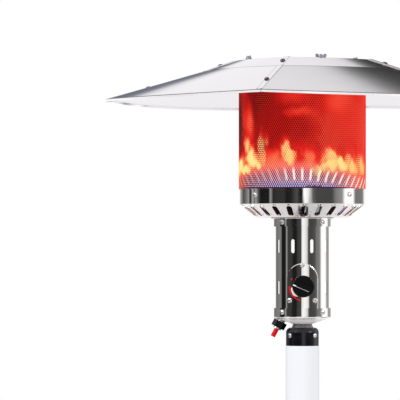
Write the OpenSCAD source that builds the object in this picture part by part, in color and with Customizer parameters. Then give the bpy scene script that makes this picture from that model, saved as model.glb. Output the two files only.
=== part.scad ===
// Propane patio heater: tank base with a lifting housing, a two-piece post, a burner head with a
// perforated emitter screen, and a four-panel heat reflector.
// Millimetres. The origin is the floor point on the post's axis, +Z is up and -Y is the front.
// An azimuth is measured from the front towards +X.

/* [Base] */
// Outer radius of the base at its rolled rim
base_r = 212; // [205:1:260]
// Height of the flared base
base_h = 45; // [32:1:70]
// Thickness of the flared base sheet
base_t = 1.5; // [1:0.1:3]
// Height of the rolled rim
rim_h = 9; // [6:0.5:12]
// Height of the tank floor's upper face above the ground
floor_z = 14; // [12:0.5:20]
// Thickness of the tank floor
floor_t = 2; // [1:0.1:4]
// Radius of the raised seat that the tank stands on
seat_r = 112; // [80:1:115]

/* [Tank housing] */
// Outer radius of the vent ring and the tank housing
drum_r = 170; // [166:1:185]
// Thickness of the housing sheet
drum_t = 1; // [0.6:0.1:2]
// Height of the vent ring above the flared base
ring_h = 80; // [60:1:110]
// Thickness of the vent ring
ring_t = 1.5; // [1:0.1:2]
// Diameter of the four vent holes
vent_d = 42; // [20:1:50]
// Height of the vent holes' centres above the flared base
vent_rise = 52; // [30:1:52]
// Height of the housing's straight side
shell_h = 457.7; // [420:0.1:520]
// Height of the lid from its seam to its flat top
lid_h = 84; // [70:1:110]
// Thickness of the lid sheet
lid_t = 1.2; // [0.8:0.1:2]
// Radius of the lid's raised flat top
lid_top_r = 146; // [120:1:152]

/* [Housing handles] */
// Height of a side handle
grip_h = 135; // [110:1:160]
// Width of a side handle
grip_w = 45; // [38:1:60]
// Height of the handles' centres above the housing's lower edge
grip_rise = 366; // [250:1:380]
// How far a handle's ends stand out from the housing
grip_out = 9; // [5:0.5:14]
// How far a handle's middle stands out from the housing
grip_mid = 2.5; // [1.5:0.1:4]
// Depth of the finger pocket behind the housing's face
pocket_in = 9; // [5:0.5:10]

/* [Legs and post] */
// Height of the legs above the tank floor
leg_h = 580; // [540:1:600]
// Width of a leg
leg_w = 30; // [20:1:34]
// Thickness of a leg
leg_t = 4; // [3:0.1:6]
// Thickness of the plate that carries the post
plate_t = 6; // [4:0.5:10]
// Outer diameter of the post
post_d = 63.5; // [55:0.5:70]
// Wall of the post
post_t = 1.5; // [1:0.1:3]
// Length of the lower post tube
lower_post_l = 566.8; // [500:0.1:800]
// Length of the upper post tube
upper_post_l = 488; // [450:1:700]
// Length of the white sleeve
sleeve_l = 279; // [100:1:300]
// Thickness of the white sleeve
sleeve_t = 0.6; // [0.4:0.1:1.5]
// Height of the post's cap
cap_h = 35; // [30:1:60]
// Outer diameter of the neck tube
neck_d = 37; // [30:0.5:42]
// Wall of the neck tube
neck_t = 2; // [1:0.1:4]
// Height of the bare neck between the cap and the control housing
neck_gap = 7; // [5:0.5:20]
// Outer diameter of the gas hose
hose_d = 12; // [8:0.5:16]
// Bore of the gas hose
hose_bore = 6; // [3:0.5:7]

/* [Control housing] */
// Diameter of the control housing
body_d = 103; // [100:1:108]
// Thickness of the control housing sheet
body_t = 1; // [0.6:0.1:2]
// Height of the bottom dish's cone
dish_cone_h = 12; // [9:0.5:16]
// Outer diameter of both collars
collar_d = 110; // [107:0.5:120]
// Thickness of the collar sheet
collar_t = 1.2; // [0.8:0.1:2]
// Height of the lower collar
low_collar_h = 19; // [16:0.5:30]
// Height of the housing between the collars
body_h = 157; // [150:1:220]
// Height of the upper collar
top_collar_h = 17.5; // [15:0.5:30]
// Angle between neighbouring cooling slots
slot_pitch = 42; // [36:1:46]
// Width of a cooling slot
slot_w = 7; // [4:0.5:10]
// Length of a cooling slot
slot_l = 27; // [15:1:32]

/* [Controls] */
// Half width of the control panel
panel_r = 30.4; // [27:0.1:34]
// Thickness of the control panel
panel_t = 1.4; // [1:0.1:2]
// Diameter of the control knob
knob_d = 42; // [34:1:44]
// Thickness of the knob's round skirt
knob_skirt = 8; // [6:0.5:12]
// Height of the knob's grip above its skirt
knob_grip = 8; // [5:0.5:14]
// Width of the knob's grip
knob_grip_w = 11; // [8:0.5:14]
// How far the knob pushes in
knob_push_l = 4; // [2:0.5:6]
// Diameter of the knob's stem
stem_d = 8; // [6:0.5:9]
// Tilt of the igniter from upright
igniter_tilt = 28; // [15:1:32]
// Width of the igniter's nut across its flats
igniter_nut_w = 23.5; // [20:0.5:26]
// Thickness of the igniter's nut
igniter_nut_h = 13; // [8:0.5:15]
// Diameter of the igniter's button
button_d = 9.2; // [6:0.1:10]
// How far the button stands out of its collar
button_out = 17; // [12:0.5:22]
// How far the button pushes in
button_travel = 6; // [3:0.5:8]

/* [Burner] */
// Radius of the burner pan's flat bottom
pan_flat_r = 86; // [84:1:95]
// Radius of the burner pan at its top
pan_r = 120; // [115:1:130]
// Height of the burner pan's cone
pan_h = 26; // [22:1:34]
// Thickness of the burner pan sheet
pan_t = 1.2; // [0.8:0.1:2]
// Number of slots round the burner pan
pan_slot_n = 24; // [16:1:28]
// Width of a burner pan slot
pan_slot_w = 11; // [6:0.5:12]
// Length of a burner pan slot along the slope
pan_slot_l = 30; // [20:1:32]
// Height of the burner band
band_h = 29; // [20:1:45]
// Thickness of the burner band
band_t = 1; // [0.6:0.1:1.5]
// Outer radius of the emitter screen
screen_r = 123; // [118:1:133]
// Thickness of the emitter screen
screen_t = 0.8; // [0.5:0.1:1.5]
// Height of the emitter screen
screen_h = 221; // [150:1:300]
// Number of flame ports round the burner head
port_n = 40; // [20:1:48]
// Diameter of a flame port
port_d = 3; // [2:0.1:4]

/* [Reflector] */
// Outer radius of the reflector
reflector_r = 381; // [330:1:450]
// Radius of the reflector's crease at a seam
crease_r = 195; // [175:1:230]
// Radius of the reflector's flat middle, halfway between two seams
hub_r = 118; // [116:1:130]
// How far behind the post the cone of each reflector panel is centred
petal_offset = 105; // [60:1:125]
// Height of the reflector's lip
lip_h = 5; // [3:0.5:12]
// Rise from the rim to the crease at a seam
crease_rise = 52; // [40:1:60]
// Rise from the rim to the flat middle
hub_rise = 71.5; // [62:0.5:90]
// Thickness of the reflector sheet
reflector_t = 1; // [0.6:0.1:1.5]
// Width of the lapped seam between two panels
lap_w = 9; // [8:0.5:14]
// Gap between the emitter's top plate and the reflector's flat middle
stand_off = 27.5; // [15:0.5:40]

/* [Wheels] */
// Diameter of a wheel
wheel_d = 110; // [80:1:114]
// Width of a wheel
wheel_w = 26; // [18:1:34]
// Diameter of the wheel axle
axle_d = 12; // [8:0.5:16]
// Width of the wheel bracket
bracket_w = 90; // [70:1:110]

/* [Screws] */
// Diameter of the round screw heads
screw_head_d = 9.5; // [6:0.5:10]
// Height of the round screw heads
screw_head_h = 3; // [2:0.1:4]
// Diameter of the screws' shanks
screw_d = 4.2; // [3:0.1:5]

/* [Hidden] */
$fn = 96;

// Clearances: between faces that meet, round a shaft that turns or slides in its bore, between
// pieces that move past each other, and round a screw
fit = 0.1;
run = 0.1;
slide = 0.3;
hole_play = 0.4;

// Heights of the seams, from the ground up
ring_top = base_h + ring_h;
shell_z = ring_top + slide;
lid_z = shell_z + shell_h;
lid_top = lid_z + lid_h;
leg_top = floor_z + leg_h;
post_z = leg_top + plate_t + 2 * fit;
post_seam = post_z + lower_post_l;
upper_z = post_seam + 5 * fit;
cap_z = upper_z + upper_post_l;
cap_top = cap_z + cap_h;
dish_z = cap_top + neck_gap;
low_collar_z = dish_z + dish_cone_h;
body_z = low_collar_z + low_collar_h;
top_collar_z = body_z + body_h;
pan_z = top_collar_z + top_collar_h + fit;
band_z = pan_z + pan_h;
screen_z = band_z + band_h + fit;
screen_top = screen_z + screen_h;
hub_z = screen_top + stand_off;
rim_z = hub_z - hub_rise;

// Legs, their bolts and the post's joints
leg_azimuths = [180, 105, -105];
leg_out_r = drum_r - 5;
leg_foot_r = 128;
leg_tab_r = 45;
leg_slope_r = 74;
leg_slope_h = 74;
leg_bend = 10;
bolt_foot_r = 143;
bolt_top_r = 60;
bolt_d = 8;
seat_h = 1.5;
bolt_af = 13;
bolt_head_h = 5.3;
plate_r = 75;
spigot_h = 40;
post_ir = post_d / 2 - post_t;
joint_reach = 40;
joint_azimuth = 5;
joint_steps = [5, 25];
cap_shoulder = 9;
cap_plug_h = 20;
cap_screw_drop = 15;
cap_azimuths = [-48, 48, 132, -132];
neck_flange_r = 24;
neck_flange_h = 3;

// Lid and housing details
vent_azimuths = [-35, 55, 145, 235];
guide_low = 13;
guide_high = 12;
bead_r = 1.2;
lid_band_h = 20;
lid_bulge = 2.5;
lid_screw_azimuths = [-131, -41, 49, 139];
lid_collar_r = 52;
lid_collar_h = 22;
lid_step = 17;
lid_round = 24;
catch_x = -108;
catch_y = -60;
catch_w = 20;
catch_h = 28;
catch_t = 2;
grip_wall = 2;
grip_flange = 6;

// Control housing details
slot_azimuths = [
    for (side = [-1, 1], a = [slot_pitch / 2, slot_pitch * 1.5]) each side * [a, 180 - a]
];
upper_slot_rise = 119;
lower_slot_rise = 39;
collar_azimuths = [-45, 45, 135, -135];
hem_h = 3;
panel_arch_rise = 56;
knob_x = 2;
knob_rise = 42;
knob_rest = 157;
panel_screw_rise = 15;
panel_screw_x = 24.4;
panel_screw_top = 83;
knob_z = body_z + knob_rise;
panel_face_r = body_d / 2 + fit + panel_t;
panel_edge = 0.6;
washer_t = 0.8;
knob_back = panel_face_r + knob_push_l + 2 * slide + washer_t;
stem_in = 38;
stem_room = 20;
valve_w = 32;
valve_h = 30;
valve_back = 10;
valve_front = 40;
valve_low = knob_z - valve_h / 2;
bush_r = 9;
boss_r = 8;
boss_h = 5;
igniter_r = 40.6;
igniter_gap = 2.6;
barrel_r = 8;
barrel_up = 30;
barrel_low = 3;
button_in = 8;
button_room = button_in + button_travel + 4;
tilt_switch_t = 12;
inlet_r = 8;
inlet_l = 18;

// Burner, pilot and emitter details
band_r = pan_r + fit + band_t;
pan_rim_h = 12;
pan_hole_r = 34;
pan_rim_w = 2;
pan_rim_out = 1.4;
pan_slot_first = 2;
inner_bolt_r = 44;
outer_bolt_r = 78;
head_flange_r = pan_flat_r - 3;
head_drum_r = 72;
head_drum_h = 33;
head_rim_r = 100;
head_rim_h = 18;
head_dome = 5;
head_t = 1.2;
head_z = pan_z + pan_t + head_t + fit;
venturi_r = 13;
venturi_t = 1.5;
venturi_top = 20;
jet_h = 12;
jet_r = 6;
pilot_azimuth = 12;
pilot_r = 108;
pilot_rise = 30;
pilot_h = 28;
pilot_w = 30;
pilot_step = 10;
pilot_tube_r = 3;
band_azimuths = [-48, 48, 132, -132];
top_rim_h = 10;
top_t = 1.5;

// Reflector details
seam_azimuth = -11.4;
seam_screw_outer = 308;
seam_screw_inner = 163;
stud_azimuth = 19;
stud_r = 109;
stud_d = 6;
spacer_r = 6;
panel_inner_r = 18;
hub_plate_t = 1.2;
wing_h = 7;

// Wheels and their bracket
axle_y = drum_r + wheel_d / 2 + 11;
axle_z = wheel_d / 2 + 8;
bracket_t = 3;
bracket_z = base_h + 2;
bracket_h = 50;
bracket_bolt_x = 24;
hub_gap = 2;
axle_l = bracket_w + 2 * (wheel_w + 2 * hub_gap) + 8;

// Outlines: a path is a list of [x, y, corner radius], a skin is the sheet on its left side
function unit(v) = v / norm(v);
function reversed(list) = [for (i = [len(list) - 1:-1:0]) list[i]];
function flat(p) = [p[0], p[1]];
function bend(a, b, c, r, n = 5) =
    let (
        back = unit(a - b),
        ahead = unit(c - b),
        half = acos(back * ahead) / 2,
        centre = b + unit(back + ahead) * r / sin(half),
        start = b + back * r / tan(half) - centre,
        stop = b + ahead * r / tan(half) - centre
    )
    [for (i = [0:n]) centre + r * unit(start * (n - i) + stop * i)];
function path(corners) =
    let (last = len(corners) - 1)
    [for (i = [0:last])
        each (i == 0 || i == last || corners[i][2] == 0)
            ? [flat(corners[i])]
            : bend(flat(corners[i - 1]), flat(corners[i]), flat(corners[i + 1]), corners[i][2])];
function normal(p, i) = unit([p[i][1] - p[i + 1][1], p[i + 1][0] - p[i][0]]);
function step(p, i) =
    let (before = normal(p, max(i - 1, 0)), after = normal(p, min(i, len(p) - 2)))
    (before + after) / (1 + before * after);
function beside(p, d) = [for (i = [0:len(p) - 1]) p[i] + d * step(p, i)];
function between(p, near, far) = concat(beside(p, near), reversed(beside(p, far)));
function skin(corners, t) = between(path(corners), 0, t);

// Shared forms
module at_azimuth(a, r = 0, z = 0) rotate([0, 0, a]) translate([0, -r, z]) children();
module outward() rotate([90, 0, 0]) children();
module ring(r_out, r_in, h) rotate_extrude() translate([r_in, 0]) square([r_out - r_in, h]);
module stadium(w, l) {
    square([w, l - w], center = true);
    for (side = [-1, 1]) translate([0, side * (l - w) / 2]) circle(d = w);
}
module radial_strip(corners, t, w)
    rotate([90, 0, -90]) linear_extrude(w, center = true) polygon(skin(corners, t));

// A round-headed cross screw along +Z, with its seat at the origin
module round_screw(shank_l) {
    recess = screw_head_d * 0.5;
    difference() {
        rotate_extrude() polygon([
            [0, -shank_l], [screw_d / 2, -shank_l], [screw_d / 2, 0], [screw_head_d / 2, 0],
            [screw_head_d / 2, screw_head_h * 0.4], [screw_head_d * 0.42, screw_head_h * 0.8],
            [screw_head_d * 0.25, screw_head_h], [0, screw_head_h]
        ]);
        for (turn = [20, 110]) rotate(turn)
            translate([-recess / 2, -0.6, screw_head_h * 0.5]) cube([recess, 1.2, screw_head_h]);
    }
}
module hex(af, h) cylinder(r = af / 2 / cos(30), h = h, $fn = 6);
module hex_bolt(af, head_h, d, shank_l) {
    hex(af, head_h);
    translate([0, 0, -shank_l]) cylinder(d = d, h = shank_l + 0.5);
}
// A screw's hole, from below the surface to above it
module hole(d, depth = 12) translate([0, 0, -depth]) cylinder(d = d + hole_play, h = 2 * depth);

// Base and vent ring
flare_cr = base_r - 4;
flare_a = flare_cr - drum_r - base_t - fit;
flare_b = base_h - rim_h + 1;
function flare_at(z) = flare_cr - flare_a * sqrt(1 - pow((base_h - z) / flare_b, 2));
function flare_path() =
    [for (turn = [0:9:90]) [flare_cr - flare_a * sin(turn), base_h - flare_b * cos(turn)]];

module base_pan() color("#141416") {
    flare = flare_path();
    difference() {
        union() {
            rotate_extrude() polygon(path([
                [base_r - rim_h, rim_h - 1, 0], [base_r - rim_h, 0, 2], [base_r, 0, 2.5],
                [base_r, rim_h, 2.5], [base_r - rim_h, rim_h, 2], [base_r - rim_h, rim_h - 1, 0]
            ]));
            rotate_extrude() polygon(between(flare, 0, base_t));
            translate([0, 0, floor_z - floor_t]) rotate_extrude() polygon(skin([
                [0, seat_h, 0], [seat_r, seat_h, 1.5], [seat_r + 2 * seat_h, 0, 1.5],
                [flare_at(floor_z), 0, 0]
            ], floor_t));
        }
        for (a = leg_azimuths) at_azimuth(a, bolt_foot_r, floor_z) hole(bolt_d);
    }
}

module vent_ring() color("#2b2a2e") {
    difference() {
        union() {
            translate([0, 0, floor_z + fit]) ring(drum_r, drum_r - ring_t, ring_top - floor_z - fit);
            translate([0, 0, ring_top - guide_low])
                ring(drum_r - ring_t + fit, drum_r - ring_t - 1.2, guide_low + guide_high);
        }
        for (a = vent_azimuths) at_azimuth(a, 0, base_h + vent_rise)
            outward() translate([0, 0, drum_r - 20]) cylinder(d = vent_d, h = 40);
        for (x = [-bracket_bolt_x, bracket_bolt_x]) translate([x, drum_r, bracket_z + bracket_h / 2])
            outward() hole(bolt_d);
    }
}

// Legs, foot plate and post
module leg(a) color("#3a3a3d") at_azimuth(a) {
    difference() {
        radial_strip([
            [leg_foot_r, floor_z + fit, 0],
            [leg_out_r, floor_z + fit, leg_bend],
            [leg_out_r, leg_top - leg_slope_h, leg_bend],
            [leg_slope_r, leg_top, leg_bend],
            [leg_tab_r, leg_top, 0]
        ], leg_t, leg_w);
        translate([0, -bolt_foot_r, floor_z]) hole(bolt_d);
        translate([0, -bolt_top_r, leg_top]) hole(bolt_d);
    }
}
module leg_left() leg(leg_azimuths[2]);
module leg_right() leg(leg_azimuths[1]);
module leg_back() leg(leg_azimuths[0]);

module leg_bolts() color("#b9bcc0") for (a = leg_azimuths) {
    at_azimuth(a, bolt_foot_r, floor_z + leg_t + 2 * fit)
        hex_bolt(bolt_af, bolt_head_h, bolt_d, leg_t + floor_t + 4 * fit);
    at_azimuth(a, bolt_top_r, leg_top + plate_t + 2 * fit)
        hex_bolt(bolt_af, bolt_head_h, bolt_d, leg_t + plate_t + 6 * fit);
}

module foot_plate() color("#3a3a3d") {
    difference() {
        union() {
            translate([0, 0, leg_top + fit]) cylinder(r = plate_r, h = plate_t);
            translate([0, 0, leg_top + fit]) ring(post_ir - slide, post_ir - 3, plate_t + spigot_h);
        }
        translate([0, 0, leg_top]) hole(hose_d, plate_t * 2);
        for (a = leg_azimuths) at_azimuth(a, bolt_top_r, leg_top) hole(bolt_d);
    }
}

module lower_post() color("#141416") translate([0, 0, post_z])
    ring(post_d / 2, post_ir, lower_post_l);

module joint_sleeve() color("#8c8f94") {
    difference() {
        translate([0, 0, post_seam - joint_reach])
            ring(post_ir - slide, post_ir - slide - post_t, 2 * joint_reach);
        for (z = joint_steps) at_azimuth(joint_azimuth, post_ir, post_seam + z)
            outward() hole(screw_d);
    }
}

module upper_post() color("#141416") {
    difference() {
        translate([0, 0, upper_z]) ring(post_d / 2, post_ir, upper_post_l - fit);
        for (z = joint_steps) at_azimuth(joint_azimuth, post_ir, post_seam + z)
            outward() hole(screw_d);
    }
}

module white_sleeve() color("#f2f2f4") translate([0, 0, cap_z - sleeve_l])
    ring(post_d / 2 + fit + sleeve_t, post_d / 2 + fit, sleeve_l - fit);

module post_cap() color("#141416") {
    difference() {
        rotate_extrude() polygon(path([
            [neck_d / 2 + fit, cap_z - cap_plug_h, 0],
            [post_ir - slide, cap_z - cap_plug_h, 1],
            [post_ir - slide, cap_z, 0],
            [post_d / 2, cap_z, 0],
            [post_d / 2, cap_top, cap_shoulder],
            [neck_d / 2 + 2, cap_top, 0],
            [neck_d / 2 + fit, cap_top - 1, 0]
        ]));
        for (a = cap_azimuths) at_azimuth(a, post_d / 2, cap_top - cap_screw_drop)
            outward() hole(screw_d, 8);
    }
}

module post_screws() color("#1c1c1f") {
    for (z = joint_steps) at_azimuth(joint_azimuth, post_d / 2 + fit, post_seam + z)
        outward() round_screw(6);
    for (a = cap_azimuths) at_azimuth(a, post_d / 2 + fit, cap_top - cap_screw_drop)
        outward() round_screw(7);
}

module neck_tube() color("#8c8f94") {
    translate([0, 0, cap_z - cap_plug_h]) ring(neck_d / 2, neck_d / 2 - neck_t, low_collar_z - cap_z + cap_plug_h);
    translate([0, 0, dish_floor(neck_flange_r) + fit]) ring(neck_flange_r, neck_d / 2 - fit, neck_flange_h);
    rotate_extrude() polygon([
        [neck_d / 2 - 1, cap_top + fit], [neck_d / 2 + 2.5, cap_top + fit],
        [neck_d / 2, dish_z - 1], [neck_d / 2 - 1, dish_z - 1]
    ]);
}

// Gas line up the post
module gas_hose() color("#1a1a1c") translate([0, 0, leg_top + plate_t + 6 * fit])
    ring(hose_d / 2, hose_bore / 2, valve_low - boss_h - leg_top - plate_t - 7 * fit);

module gas_inlet() color("#c8a24a") {
    hex_h = 10;
    difference() {
        union() {
            translate([0, 0, leg_top - hex_h]) hex(2 * hose_d, hex_h);
            translate([0, 0, leg_top - hex_h - inlet_l]) cylinder(r = inlet_r, h = inlet_l + 1);
            translate([0, 0, leg_top - 1]) cylinder(d = hose_d, h = plate_t + 1 + 5 * fit);
        }
        translate([0, 0, leg_top - 2 * inlet_l]) cylinder(d = hose_bore, h = 4 * inlet_l);
    }
}

// Lifting tank housing
module handle_block(w, h, r_in, r_out)
    translate([0, 0, shell_z + grip_rise]) outward() translate([0, 0, r_in])
        linear_extrude(r_out - r_in) stadium(w, h);

module housing_shell() color("#26252a") {
    cut_w = grip_w - 2 * grip_flange + 4 * fit;
    difference() {
        union() {
            translate([0, 0, shell_z]) ring(drum_r, drum_r - drum_t, shell_h);
            rotate_extrude() translate([drum_r - drum_t + bead_r, lid_z - 2 * bead_r])
                circle(r = bead_r, $fn = 24);
        }
        for (a = [-90, 90]) at_azimuth(a)
            handle_block(cut_w, cut_w + grip_h - grip_w, drum_r - 10, drum_r + 10);
    }
}

module side_handle(a) color("#1c1c1f") {
    cup_w = grip_w - 2 * grip_flange;
    cup_h = grip_h - 2 * grip_flange;
    sag = grip_out - grip_mid;
    saddle_r = (pow(grip_h / 2, 2) + sag * sag) / (2 * sag);
    at_azimuth(a) difference() {
        union() {
            difference() {
                handle_block(grip_w, grip_h, drum_r - 4, drum_r + grip_out);
                translate([0, 0, shell_z]) cylinder(r = drum_r + slide, h = shell_h);
            }
            handle_block(cup_w, cup_h, drum_r - pocket_in - grip_wall, drum_r + grip_out);
        }
        handle_block(cup_w - 2 * grip_wall, cup_h - 2 * grip_wall, drum_r - pocket_in, drum_r + 30);
        translate([0, -(drum_r + grip_mid + saddle_r), shell_z + grip_rise]) rotate([0, 90, 0])
            cylinder(r = saddle_r, h = 2 * grip_w, center = true, $fn = 180);
    }
}
module handle_left() side_handle(-90);
module handle_right() side_handle(90);

module housing_lid() color("#141416") {
    neck_r = drum_r - drum_t - slide;
    bulge_r = drum_r + lid_bulge;
    shoulder_z = lid_top - lid_step;
    difference() {
        rotate_extrude() polygon(skin([
            [neck_r, lid_z - 12, 0],
            [neck_r, lid_z + fit, 0],
            [drum_r, lid_z + fit, 0],
            [drum_r, lid_z + lid_band_h, 1],
            [drum_r - 1, lid_z + lid_band_h + 3, 1.5],
            [bulge_r, lid_z + lid_band_h + 8, 2],
            [bulge_r, shoulder_z, lid_round],
            [lid_top_r + 6, shoulder_z, 4],
            [lid_top_r + 3, lid_top, 7],
            [post_d / 2 + 1, lid_top, 0]
        ], lid_t));
        for (a = lid_screw_azimuths) at_azimuth(a, drum_r, lid_z + lid_band_h / 2)
            outward() hole(screw_d, 6);
        translate([catch_x, catch_y, lid_top]) hole(screw_d, 6);
    }
}

module lid_screws() color("#6d6f75") {
    for (a = lid_screw_azimuths) at_azimuth(a, drum_r + fit, lid_z + lid_band_h / 2)
        outward() round_screw(5);
    translate([catch_x, catch_y, lid_top + catch_t + 2 * fit]) round_screw(6);
}

module lid_collar() color("#141416") translate([0, 0, lid_top + fit]) rotate_extrude()
    polygon(skin([
        [lid_collar_r, 0, 0], [lid_collar_r, 6, 2], [lid_collar_r - 12, 9, 5],
        [post_d / 2 + 3, lid_collar_h, 0]
    ], 2));

module lid_catch() color("#8c8f94") {
    difference() {
        translate([catch_x, catch_y, lid_top + fit]) union() {
            translate([-catch_w / 2, -catch_w / 2, 0]) cube([catch_w, catch_w, catch_t]);
            translate([-catch_w / 2, catch_w / 2 - catch_t, 0]) cube([catch_w, catch_t, catch_h]);
        }
        translate([catch_x, catch_y, lid_top]) hole(screw_d, 6);
        translate([catch_x, catch_y, lid_top + catch_h - catch_w / 2])
            outward() cylinder(d = catch_w / 2, h = 2 * catch_w, center = true);
    }
}

// Control housing
dish_r0 = neck_d / 2 + slide + collar_t / 2;
function dish_under(r) =
    dish_z + dish_cone_h * (r - dish_r0) / (collar_d / 2 - dish_r0);
function dish_floor(r) =
    dish_under(r) + collar_t / cos(atan(dish_cone_h / (collar_d / 2 - dish_r0)));

module in_igniter() translate([-igniter_r, 0, dish_under(igniter_r)]) rotate([0, igniter_tilt, 0])
    children();

module collar_holes(z) for (a = collar_azimuths) at_azimuth(a, collar_d / 2, z)
    outward() hole(screw_d);

module bottom_dish() color("#c9c7c6") {
    difference() {
        union() {
            rotate_extrude() polygon(skin([
                [dish_r0, dish_z, 0],
                [collar_d / 2, low_collar_z, 4],
                [collar_d / 2, body_z - fit, 0]
            ], collar_t));
            translate([0, 0, body_z - fit - hem_h])
                ring(collar_d / 2 - collar_t / 2, body_d / 2 + fit, hem_h);
        }
        collar_holes(body_z - low_collar_h / 2 + 2);
        in_igniter() translate([0, 0, -6]) cylinder(r = barrel_r + 2 * fit, h = 14);
    }
}

module top_collar() color("#c9c7c6") {
    difference() {
        union() {
            rotate_extrude() polygon(skin([
                [collar_d / 2, top_collar_z + fit, 0],
                [collar_d / 2, top_collar_z + top_collar_h, 2],
                [pan_hole_r, top_collar_z + top_collar_h, 0]
            ], collar_t));
            translate([0, 0, top_collar_z + fit])
                ring(collar_d / 2 - collar_t / 2, body_d / 2 + fit, hem_h);
        }
        collar_holes(top_collar_z + top_collar_h / 2);
        for (a = collar_azimuths) at_azimuth(a, inner_bolt_r, pan_z) hole(screw_d);
    }
}

module body_slot(a, z) at_azimuth(a, 0, z) outward() translate([0, 0, body_d / 2 - 8])
    linear_extrude(16) stadium(slot_w, slot_l);

module control_housing() color("#c9c7c6") {
    low = low_collar_z + 6;
    high = top_collar_z + top_collar_h - collar_t - slide;
    panel_half = asin(panel_r / (body_d / 2)) + asin(slot_w / body_d) + 2;
    difference() {
        translate([0, 0, low]) ring(body_d / 2, body_d / 2 - body_t, high - low);
        for (a = slot_azimuths) {
            body_slot(a, body_z + upper_slot_rise);
            if (cos(a) < cos(panel_half)) body_slot(a, body_z + lower_slot_rise);
        }
        collar_holes(body_z - low_collar_h / 2 + 2);
        collar_holes(top_collar_z + top_collar_h / 2);
        in_panel() translate([0, 0, body_d / 2 - 12]) cylinder(r = bush_r + slide, h = 24);
        panel_screw_places() hole(screw_d);
    }
}

// The knob's axis, pointing out of the panel
module in_panel() translate([knob_x, 0, knob_z]) outward() children();
module panel_screw_places() {
    side = asin(panel_screw_x / (body_d / 2 + panel_t));
    for (a = [-side, side]) at_azimuth(a, panel_face_r, body_z + panel_screw_rise)
        outward() children();
    at_azimuth(0, panel_face_r, body_z + panel_screw_top) outward() children();
}

module panel_outline(inset) translate([0, 0, body_z]) outward() linear_extrude(body_d) {
    translate([inset - panel_r, inset]) square([2 * panel_r - 2 * inset, panel_arch_rise]);
    translate([0, panel_arch_rise]) circle(r = panel_r - inset);
    translate([0, panel_screw_top]) circle(r = screw_head_d * 0.7 - inset);
}
module control_panel() color("#bdbbba") {
    difference() {
        intersection() {
            translate([0, 0, body_z + 2 * fit])
                ring(panel_face_r + panel_edge, body_d / 2 + fit, panel_arch_rise + 2 * panel_r);
            panel_outline(0);
        }
        // The face inside the raised edge
        intersection() {
            translate([0, 0, body_z]) ring(body_d, panel_face_r, panel_arch_rise + 2 * panel_r);
            panel_outline(2 * panel_edge);
        }
        in_panel() translate([0, 0, body_d / 2 - 12]) cylinder(d = stem_d + 4, h = 24);
        panel_screw_places() hole(screw_d);
    }
}

// Red crescent and start mark round the knob
module heat_scale() color("#c01820") {
    scale_r = 28.4;
    intersection() {
        translate([0, 0, knob_z - body_d / 2])
            ring(panel_face_r + fit + 0.3, panel_face_r + fit, body_d);
        in_panel() linear_extrude(body_d) {
            intersection() {
                difference() {
                    circle(r = scale_r);
                    translate([1.6, -1.6]) circle(r = scale_r - 2.8);
                }
                polygon([[0, 0], [-2 * scale_r, 0], [-scale_r, -2 * scale_r], [-8, -2 * scale_r]]);
            }
            rotate(148) translate([scale_r - 2, 0]) circle(r = 1.7);
        }
    }
}

module head_screws() color("#d6d6d8") {
    for (z = [body_z - low_collar_h / 2 + 2, top_collar_z + top_collar_h / 2])
        for (a = collar_azimuths) at_azimuth(a, collar_d / 2 + fit, z) outward() round_screw(7);
    panel_screw_places() translate([0, 0, fit]) round_screw(7);
    for (a = band_azimuths) at_azimuth(a, band_r + fit, band_z + band_h * 0.6)
        outward() round_screw(6);
}

module gas_valve() color("#c8a24a") {
    bush_y = sqrt(pow(body_d / 2, 2) - pow(bush_r + knob_x, 2)) - fit;
    difference() {
        union() {
            translate([knob_x - valve_w / 2, -valve_front, knob_z - valve_h / 2])
                cube([valve_w, valve_front + valve_back, valve_h]);
            in_panel() translate([0, 0, valve_front - 1]) cylinder(r = bush_r, h = bush_y - valve_front + 1);
            translate([0, 0, valve_low - boss_h]) cylinder(r = boss_r, h = valve_h + 2 * boss_h);
        }
        in_panel() translate([0, 0, bush_y - stem_room]) cylinder(d = stem_d + 2 * run, h = 2 * stem_room);
        translate([0, 0, valve_low - 2 * boss_h]) cylinder(d = hose_bore, h = 2 * boss_h);
    }
}

module gas_jet() color("#d8b45c") {
    z = valve_low + valve_h + boss_h + fit;
    difference() {
        union() {
            translate([0, 0, z]) hex(2 * jet_r, jet_h / 2);
            translate([0, 0, z + jet_h / 2]) cylinder(r1 = jet_r * 0.8, r2 = jet_r / 2, h = jet_h / 2);
        }
        translate([0, 0, z + jet_h / 2]) cylinder(d = 1.6, h = jet_h);
    }
}

module push_washer() color("#8c8f94") in_panel() translate([0, 0, knob_back - fit - washer_t])
    ring(stem_d * 0.8, stem_d / 2 + 2 * fit, washer_t);

module control_knob() color("#161618") in_panel() {
    translate([0, 0, knob_back]) {
        rotate_extrude() polygon(path([
            [0, 0, 0], [knob_d / 2, 0, 0.8], [knob_d / 2, knob_skirt, 2.5], [0, knob_skirt, 0]
        ]));
        difference() {
            intersection() {
                cylinder(r = knob_d / 2 - 1.5, h = knob_skirt + knob_grip);
                rotate(knob_rest) linear_extrude(knob_skirt + knob_grip)
                    square([knob_d, knob_grip_w], center = true);
            }
            rotate(knob_rest) translate([knob_d * 0.2, -0.8, knob_skirt + knob_grip - 1])
                cube([knob_d, 1.6, 2]);
        }
    }
    translate([0, 0, stem_in]) cylinder(d = stem_d, h = knob_back - stem_in + 1);
}

module tilt_switch() color("#2c3c2c") {
    w = 20;
    translate([-w / 2, body_d / 2 - body_t - tilt_switch_t - 1.2, low_collar_z + 10])
        cube([w, tilt_switch_t, 28]);
}

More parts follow.
